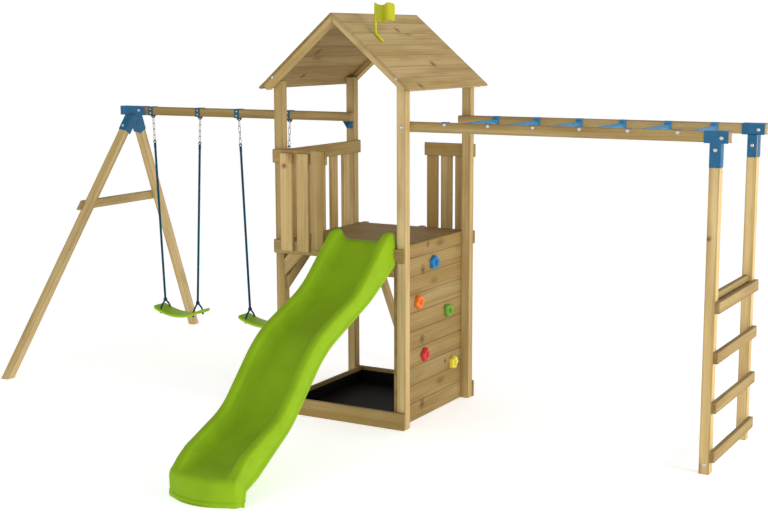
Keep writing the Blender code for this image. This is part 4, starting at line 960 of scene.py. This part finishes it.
class PLAYTOWER_OT_swings(Builder, bpy.types.Operator):
    """Hangers, chains, ropes and seats of both swings."""

    bl_idname = "playtower.swings"
    bl_label = "Swings"

    def execute(self, context):
        collars = Shape()
        for index, centre in enumerate(SWINGS_X, 1):
            for side, name in ((-1, "left"), (1, "right")):
                dress(f"hanger_{index}_{name}", "strap")
                self.line(f"swing_{index}", name, side, centre, context.scene.tower_sizes.rope)
                self.collar(collars, centre + side * HOOK)
            self.seat(f"swing_{index}", centre)
        collars.piece("hanger_collars", "dark", "strap")
        return {"FINISHED"}

    def collar(self, shape, x):
        """The dark moulded yoke that clamps a bail's two arms under its strap."""
        spot = rows((x, BEAM_Y, PIVOT_Z))
        swell = np.array([0.6, 0.95, 1.0, 1.0, 0.95, 0.6])
        along = np.array([-1.0, -0.94, -0.7, 0.7, 0.94, 1.0])[:, None]
        tube(shape, spot + 0.0190 * Z + 0.022 * along * X, 0.0072 * swell, 12)
        for side in (-1, 1):
            tube(shape, spot + side * 0.012 * X + (0.0125 + 0.0065 * along) * Z, 0.0062 * swell, 12)

    def line(self, swing, name, side, centre, rope):
        """One side of a swing: four links, the rope's eye, the laid rope, its knot and two legs."""
        down = rows((-side * sin(ROPE_TILT), 0, -cos(ROPE_TILT)))
        across = rows((cos(ROPE_TILT), 0, -side * sin(ROPE_TILT)))
        pivot = rows((centre + side * HOOK, BEAM_Y, PIVOT_Z))
        link, wire = 0.050, 0.005
        start, step = -(0.003 + GAP + wire / 2), link - 0.0044
        chain = Shape()
        for k in range(4):
            middle = pivot + down * (start + k * step + link / 2)
            loop(chain, middle, across if k % 2 else Y, down, 0.008, link / 2, wire)
        chain.piece(f"{swing}_{name}_links", "chain", "chain", [f"{swing}_{name}_chain"], swing)

        eye_wire, eye_half = 0.008, 0.013
        eye = start + 3 * step + link - wire / 2 - GAP - eye_wire / 2 + eye_half
        head, length = eye + 0.009, ROPE_DROP / cos(ROPE_TILT)
        knot = pivot + down * length
        path = pivot + down * np.linspace(head, length, 260)[:, None]
        laid = tube(Shape(), path, rope / 2 * 0.965, 20, lambda turn, run: 1 + 0.045 * np.abs(
            np.cos(1.5 * turn + 1.5 * pi * 2 * run / ROPE_LAY)))
        line = laid.piece(f"{swing}_{name}_laid_rope", "rope", "rope", [f"{swing}_{name}_rope"], swing)

        ends = Shape()
        loop(ends, pivot + down * eye, Y, down, eye_half, eye_half, eye_wire, 36, 12)
        splice = np.interp(np.linspace(0, 1, 14), [0, 0.15, 0.8, 1], [0.5, 1.12, 1.12, 0.9])
        run = np.linspace(head - 0.002, head + 0.045, 14)[:, None]
        tube(ends, pivot + down * run, rope / 2 * splice, 18)
        turn = np.linspace(0, 2 * pi, 64)
        for lift, phase in ((0.005, 0.0), (-0.005, 1.2)):
            coil = knot - down * lift + 0.0088 * circle(turn + phase, across, Y)
            tube(ends, coil + down * (0.003 * np.sin(2 * turn))[:, None], 0.0068, 12)
        t = np.linspace(0, 1, 30)[:, None]
        for sign in (-1, 1):
            hole = rows((knot[0], BEAM_Y + sign * 0.062, SEAT_HOLE_Z))
            bend, foot = hole + 0.030 * Z, hole - 0.010 * Z
            curve = (1 - t) ** 3 * knot + 3 * (1 - t) ** 2 * t * (knot + (bend - knot) * 0.7) \
                + 3 * (1 - t) * t ** 2 * bend + t ** 3 * foot
            tube(ends, curve, 0.0070, 12)
            for lift in (0.0, 0.006):
                ring = foot + lift * Z + 0.0045 * circle(turn, X, Y)
                tube(ends, ring - 0.004 * Z, 0.0042, 10)
        made = ends.piece(f"{swing}_{name}_rope_ends", "rope", "rope", (), swing)
        path = path + MIDDLE
        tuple(path[0])
        float(length - head)

    def seat(self, swing, centre):
        """A dished seat: a superellipse section carried along a parabola, narrowing to round ends."""
        s = np.sin(np.linspace(-pi / 2, pi / 2, 61))[:, None]
        half = SEAT_W / 2 * (0.86 + 0.14 * (1 - np.abs(s) ** 20) ** 0.5)
        deep = SEAT_T / 2 * (0.80 + 0.20 * (1 - np.abs(s) ** 40) ** 0.5)
        middle = SEAT_LOW + SEAT_SAG * s ** 2 + SEAT_T / 2
        y = squarish(np.cos(turns(40, 0.5)), 0.5)
        z = squarish(np.sin(turns(40, 0.5)), 0.6)
        edge = 1 - 0.10 * (np.abs(y) > 0.93)
        hang = 0.010 * np.maximum(np.clip((np.abs(y) - 0.70) / 0.2, 0, 1), np.abs(s) ** 30)
        points = np.stack(np.broadcast_arrays(
            centre + s * SEAT_L / 2 * 0.998, BEAM_Y + half * y,
            middle + deep * (z * edge) - hang * (z < 0)), axis=-1)
        shape = Shape().add(points, capped(61, 40))
        shape.piece(f"{swing}_seat_board", "seat", "seat", [f"{swing}_seat"], swing)


class PLAYTOWER_OT_bars(Builder, bpy.types.Operator):
    """Monkey bars: two rails, six bars, the end ladder and its tees."""

    bl_idname = "playtower.bars"
    bl_label = "Monkey bars"

    def execute(self, context):
        for node in ("bar_rail_front", "bar_rail_back"):
            straight(node, 0, 0.42)
        for k, x in enumerate(BARS_X):
            self.bar(f"bar_{k + 1}", x)
        shape = Shape()
        face, half = BARS_POST + POST, BARS_Y + POST
        for sign in (-1, 1):
            near, far = sorted((sign * BARS_Y, sign * half))
            beam(shape, (BARS_POST, near, 0), (face, far, RAIL - GAP), 2, tone=1.0)
        for k in range(4):
            top = RUNG_TOP + RUNG_STEP * k
            beam(shape, (face - 0.0005, -half, top - FLAT_W), (face + FLAT, half, top), 1, tone=0.24)
        top += 0.034
        start = BARS_POST + 0.012
        beam(shape, (start, -BARS_Y, top - FLAT_W), (start + FLAT, BARS_Y, top), 1, tone=0.24)
        shape.timber("end_frame")
        dress("tee_front", "steel")
        dress("tee_back", "steel")
        self.inner_plate()
        return {"FINISHED"}

    def inner_plate(self):
        """The back tee's plate on the inner side of its post, its two lower corners rounded."""
        left, right, top, foot = BARS_POST + INSET, BARS_POST + POST - INSET, RAIL - 0.001, 1.806
        radius = 0.006
        corner = [(radius * (1 - cos(a)), foot + radius * (1 - sin(a)))
                  for a in np.radians(np.arange(0, 91, 15))]
        outline = [(left + a, z) for a, z in corner] + [(right - a, z) for a, z in corner[::-1]]
        outline += [(right, top), (left, top)]
        shape = plate(Shape(), outline, 1, BARS_Y - GAP - PLATE, BARS_Y - GAP)
        shape.piece("tee_back_inner_plate", "steel", "bracket")

    def bar(self, node, x):
        """A round bar that flares into a plate at each end; each plate hooks over its rail."""
        face = BARS_Y - GAP
        outer = [(0.0, 0.0), (0.0205, 0.0), (0.0208, 0.004), (0.0195, 0.011), (0.0170, 0.020),
                 (0.0152, 0.029), (0.015, 0.036)]
        end = face - PLATE / 2
        profile = [(r, d - end) for r, d in outer] + [(r, end - d) for r, d in outer[::-1]]
        shape = revolve(Shape(), (x, 0, BEAM_Z), Y, profile, 28)
        inner, top, bend = face - PLATE, RAIL_TOP + GAP + PLATE, 0.004
        low = top - POST
        side = [(inner, low)] + [(inner + bend * (1 - cos(a)), top - bend + bend * sin(a))
                                 for a in np.linspace(0, pi / 2, 6)]
        side += [(face + 0.026, top), (face + 0.026, top - PLATE), (face + 0.0002, top - PLATE),
                 (face, top - 0.0035), (face, low)]
        for sign in (-1, 1):
            plate(shape, rows(side) * (sign, 1), 0, x - 0.024, x + 0.024, flip=sign > 0)
        shape.piece(f"{node}_flared", "bar", "bracket", [node])


class PLAYTOWER_OT_flag(Builder, bpy.types.Operator):
    """Moulded pennant on the roof."""

    bl_idname = "playtower.flag"
    bl_label = "Flag"

    def execute(self, context):
        down, out = slope(1)
        y, high, radius = -0.636 * HY, 0.056, 0.0086
        heel = rows((0.176, y, RIDGE - tan(PITCH) * 0.176)) + out * 0.0083
        t = np.linspace(0, 1, 16)[:, None]
        bend = (1 - t) ** 2 * (heel + down * 0.022) + 2 * t * (1 - t) * (heel + Z * 0.002) \
            + t ** 2 * (heel + Z * 0.020)
        pole = [heel + Z * 0.1, heel + Z * 0.194, heel + Z * 0.199]
        path = np.concatenate([[heel + down * 0.072], bend, pole])
        shape = tube(Shape(), path, np.append(np.full(len(path) - 1, radius), 0.006), 20)
        # The cloth: waves along its run, its edges lift and fall, and its free end is rounded
        s = (1 - np.cos(np.linspace(0, pi, 60))) / 2
        wave = 0.013 * np.sin(2.2 * pi * s) * np.minimum(3 * s, 1)
        lift = 0.004 - 0.010 * np.sin(pi * np.minimum(s / 0.62, 1)) \
            + 0.006 * np.sin(pi * np.clip((s - 0.5) / 0.5, 0, 1)) - 0.004 * s
        short = 0.012 * (1 - np.sqrt(np.clip(1 - np.clip((s - 0.90) / 0.10, 0, 1) ** 2, 0, 1)))
        middle = heel[2] + 0.200 - 0.008 + lift - high
        turn = turns(16)
        points = np.stack(np.broadcast_arrays(
            (heel[0] + s * 0.139)[:, None], (y + wave)[:, None] + 0.0021 * np.cos(turn),
            middle[:, None] + (high - short)[:, None] * squarish(np.sin(turn), 0.25)), axis=-1)
        shape.add(points, capped(60, 16)).piece("flag_moulded", "flag", "flag", ["flag"])
        return {"FINISHED"}


class PLAYTOWER_OT_fasteners(Builder, bpy.types.Operator):
    """Coach bolts of the frame and screws of the boards."""

    bl_idname = "playtower.fasteners"
    bl_label = "Fasteners"

    def execute(self, context):
        sizes = context.scene.tower_sizes
        self.bolts(sizes.bolt)
        self.sockets()
        self.screws(sizes.screw)
        return {"FINISHED"}

    def bolts(self, r):
        """Domed heads: posts and rafters, tees and end posts, bracket, bars and, smaller, straps."""
        dome = [(0.0, -0.002), (r, -0.002), (r, 0.0006), (r * 0.93, 0.0018), (r * 0.70, 0.0034),
                (r * 0.38, 0.0044), (0.0, 0.0048)]
        front, post, tee = FACE_Y + POST, BARS_Y + POST, BARS_Y + POST + GAP + PLATE
        inner = BARS_Y - GAP - PLATE
        # Rafters and posts
        spots = [((x, side * front, 2.288), side * Y) for x in (-POST_X, POST_X) for side in (-1, 1)]
        spots += [((-POST_X, HY, 1.98), Y), ((POST_X, HY, 1.98), Y), ((POST_X, -HY, 1.98), -Y)]
        # Tees and end posts
        for side in (-1, 1):
            spots += [((x, side * out, z), side * Y)
                      for x, out, z in ((2.500, tee, 1.976), (2.466, tee, 1.907), (2.4655, post, 0.060))]
        # Swing bracket, and the back tee's inner plate
        spots += [((-2.3811, 0.3651, 1.9836), -Y), ((-2.486, 0.2937, 1.868), (0.087, -0.869, 0.487)),
                  ((2.500, inner, 1.976), -Y), ((2.466, inner, 1.880), -Y)]
        # Hooked plates of the bars
        spots += [((x + 0.016, side * post, 2.000), side * Y) for x in BARS_X for side in (-1, 1)]
        shape = Shape()
        for place, way in spots:
            revolve(shape, place, way, dome, 12)
        # Straps of the swings
        small = [(out * 0.6, z) for out, z in dome[1:-1]]
        for centre in SWINGS_X:
            for side in (-1, 1):
                for z in (RAIL + 0.016, RAIL + 0.047):
                    place = (centre + side * HOOK, BEAM_Y - POST / 2 - GAP - PLATE, z)
                    revolve(shape, place, -Y, small, 12)
        shape.piece("coach_bolts", "bolt", "chain")

    def sockets(self):
        """The dark bolt in each hold's recess."""
        profile = [(0.0078, -0.001), (0.0078, 0.0055), (0.0066, 0.0068), (0.0040, 0.0068), (0.0036, 0.0030)]
        shape = Shape()
        for across, height, *_ in HOLDS.values():
            revolve(shape, (IX + 0.0110, across * HY, height * DECK), X, profile, 16)
        shape.piece("hold_bolts", "dark", "chain")

    def screws(self, r):
        """Flat heads: climbing wall, front slats, end boards, rungs and deck."""
        head = [(r, -0.001), (r, 0.0001), (r * 0.78, 0.0005), (r * 0.30, -0.0004)]
        levels = [WALL_PITCH * (k + 0.5) for k in range(9)] + [DECK - BOARD_W / 2]
        spots = [((IX - GAP, y, z + lift), X) for z in levels for y in (-IY + 0.022, IY - 0.022)
                 for lift in (-0.030, 0.030)]
        spots += [((-HX + (share + SLAT_W / 2) * PANEL, -SLAT_Y - BOARD, z), -Y) for share in SLAT_AT
                  for z in (GUARD - 0.038, GUARD - 0.070, DECK - 0.025, DECK - 0.052)]
        spots += [((x, side * (FACE_Y + BOARD), z), side * Y) for x in (-POST_X, POST_X)
                  for z in (DECK - 0.025, DECK - 0.066, 0.030, 0.085) for side in (-1, 1)]
        rungs = [RUNG_TOP - FLAT_W / 2 + RUNG_STEP * k for k in range(4)]
        spots += [((BARS_POST + POST + FLAT, side * (BARS_Y + POST / 2), z + lift), X)
                  for z in rungs for side in (-1, 1) for lift in (-0.017, 0.017)]
        spots += [((x * 2 * HX, -HY + DECK_PITCH * k + (DECK_PITCH - DECK_GAP) / 2 + lift, DECK), Z)
                  for k in range(10) for x in JOIST_AT for lift in (-0.026, 0.026)]
        shape = Shape()
        for place, way in spots:
            revolve(shape, place, way, head, 8)
        shape.piece("board_screws", "screw", "chain")


class PLAYTOWER_OT_stage(Builder, bpy.types.Operator):
    """Pale floor, soft studio lights and the camera at the photograph's view."""

    bl_idname = "playtower.stage"
    bl_label = "Stage"

    def execute(self, context):
        mesh = bpy.data.meshes.new("floor")
        edge, low = 60.0, -0.001
        mesh.from_pydata([(-edge, -edge, low), (edge, -edge, low), (edge, edge, low), (-edge, edge, low)],
                         [], [(0, 1, 2, 3)])
        mesh.materials.append(finish("floor"))
        floor = bpy.data.objects.new("floor", mesh)
        context.scene.collection.objects.link(floor)
        context.scene.world = self.surround()
        context.scene.view_settings.view_transform = "Standard"
        self.lamp("key", (11.0, -1.0, 2.4), (0.0, 0.0, 0.9), 4.0, 600.0, (1.0, 0.97, 0.92))
        self.lamp("fill", (-2.0, -12.0, 4.0), (0.0, 0.0, 1.0), 5.0, 160.0, (1.0, 1.0, 1.0))
        self.camera(context)
        return {"FINISHED"}

    def surround(self):
        """A soft white surround, brightest at the horizon and dimmer overhead."""
        r = Recipe(bpy.data.worlds.new("studio"), "Background", Strength=1.12)
        up = r.split(r.wire(r.node("TexCoord"), "Generated"))[2]
        stops = ((0.10, (1.0, 1.0, 1.0)), (0.75, (0.36, 0.36, 0.37)))
        return r.done(Color=r.wire(r.node("ValToRGB", {"stops": stops}, {0: up})))

    def lamp(self, name, place, aim, size, power, colour):
        light = bpy.data.lights.new(name, "AREA")
        light.shape, light.size = "SQUARE", size
        light.energy, light.color = power, colour
        made = bpy.data.objects.new(name, light)
        made.location = place
        made.rotation_euler = (Vector(aim) - Vector(place)).to_track_quat("-Z", "Y").to_euler()
        bpy.context.scene.collection.objects.link(made)

    def camera(self, context):
        """The fitted view: 29.8 degrees to the left, 9.1 down, the frame's long side 768 units
        at 1352.6 units."""
        yaw, pitch, roll = radians(29.795), radians(9.1375), radians(-0.18)
        ahead = Vector((-sin(yaw) * cos(pitch), cos(yaw) * cos(pitch), -sin(pitch)))
        right = ahead.cross(Vector((0, 0, 1))).normalized()
        up = right.cross(ahead)
        right, up = right * cos(roll) + up * sin(roll), up * cos(roll) - right * sin(roll)
        data = bpy.data.cameras.new("photo_view")
        data.sensor_fit, data.sensor_width = "HORIZONTAL", 36.0
        data.lens = data.sensor_width * 1352.64 / 768
        data.clip_start, data.clip_end = 0.1, 200.0
        made = bpy.data.objects.new("photo_view", data)
        turn = Matrix((right, up, -ahead)).transposed().to_4x4()
        made.matrix_world = Matrix.Translation(Vector(MIDDLE) + Vector((4.6389, -7.9984, 2.5309))) @ turn
        context.scene.collection.objects.link(made)
        context.scene.camera = made


class PLAYTOWER_PT_panel(bpy.types.Panel):
    """Builders and settings of the play tower."""

    bl_idname = "PLAYTOWER_PT_panel"
    bl_label = "Play Tower"
    bl_space_type = "VIEW_3D"
    bl_region_type = "UI"
    bl_category = "Play Tower"

    def draw(self, context):
        for step in STEPS:
            self.layout.operator(step.bl_idname)
        for group in (context.scene.tower_look, context.scene.tower_sizes):
            box = self.layout.box()
            for key in group.__annotations__:
                box.prop(group, key)


STEPS = (
    PLAYTOWER_OT_stage,
    PLAYTOWER_OT_swings,
    PLAYTOWER_OT_posts,
    PLAYTOWER_OT_deck,
    PLAYTOWER_OT_guards,
    PLAYTOWER_OT_roof,
    PLAYTOWER_OT_wall,
    PLAYTOWER_OT_sandbox,
    PLAYTOWER_OT_ladder,
    PLAYTOWER_OT_slide,
    PLAYTOWER_OT_swing_frame,
    PLAYTOWER_OT_bars,
    PLAYTOWER_OT_flag,
    PLAYTOWER_OT_fasteners,
)
CLASSES = (PLAYTOWER_PG_look, PLAYTOWER_PG_sizes, *STEPS, PLAYTOWER_PT_panel)


def register():
    for cls in CLASSES:
        bpy.utils.register_class(cls)
    bpy.types.Scene.tower_look = PointerProperty(type=PLAYTOWER_PG_look)
    bpy.types.Scene.tower_sizes = PointerProperty(type=PLAYTOWER_PG_sizes)


def unregister():
    del bpy.types.Scene.tower_sizes
    del bpy.types.Scene.tower_look
    for cls in reversed(CLASSES):
        bpy.utils.unregister_class(cls)


def main():
    register()
    for step in STEPS:
        family, name = step.bl_idname.split(".")
        getattr(getattr(bpy.ops, family), name)()


if __name__ == "__main__":
    main()
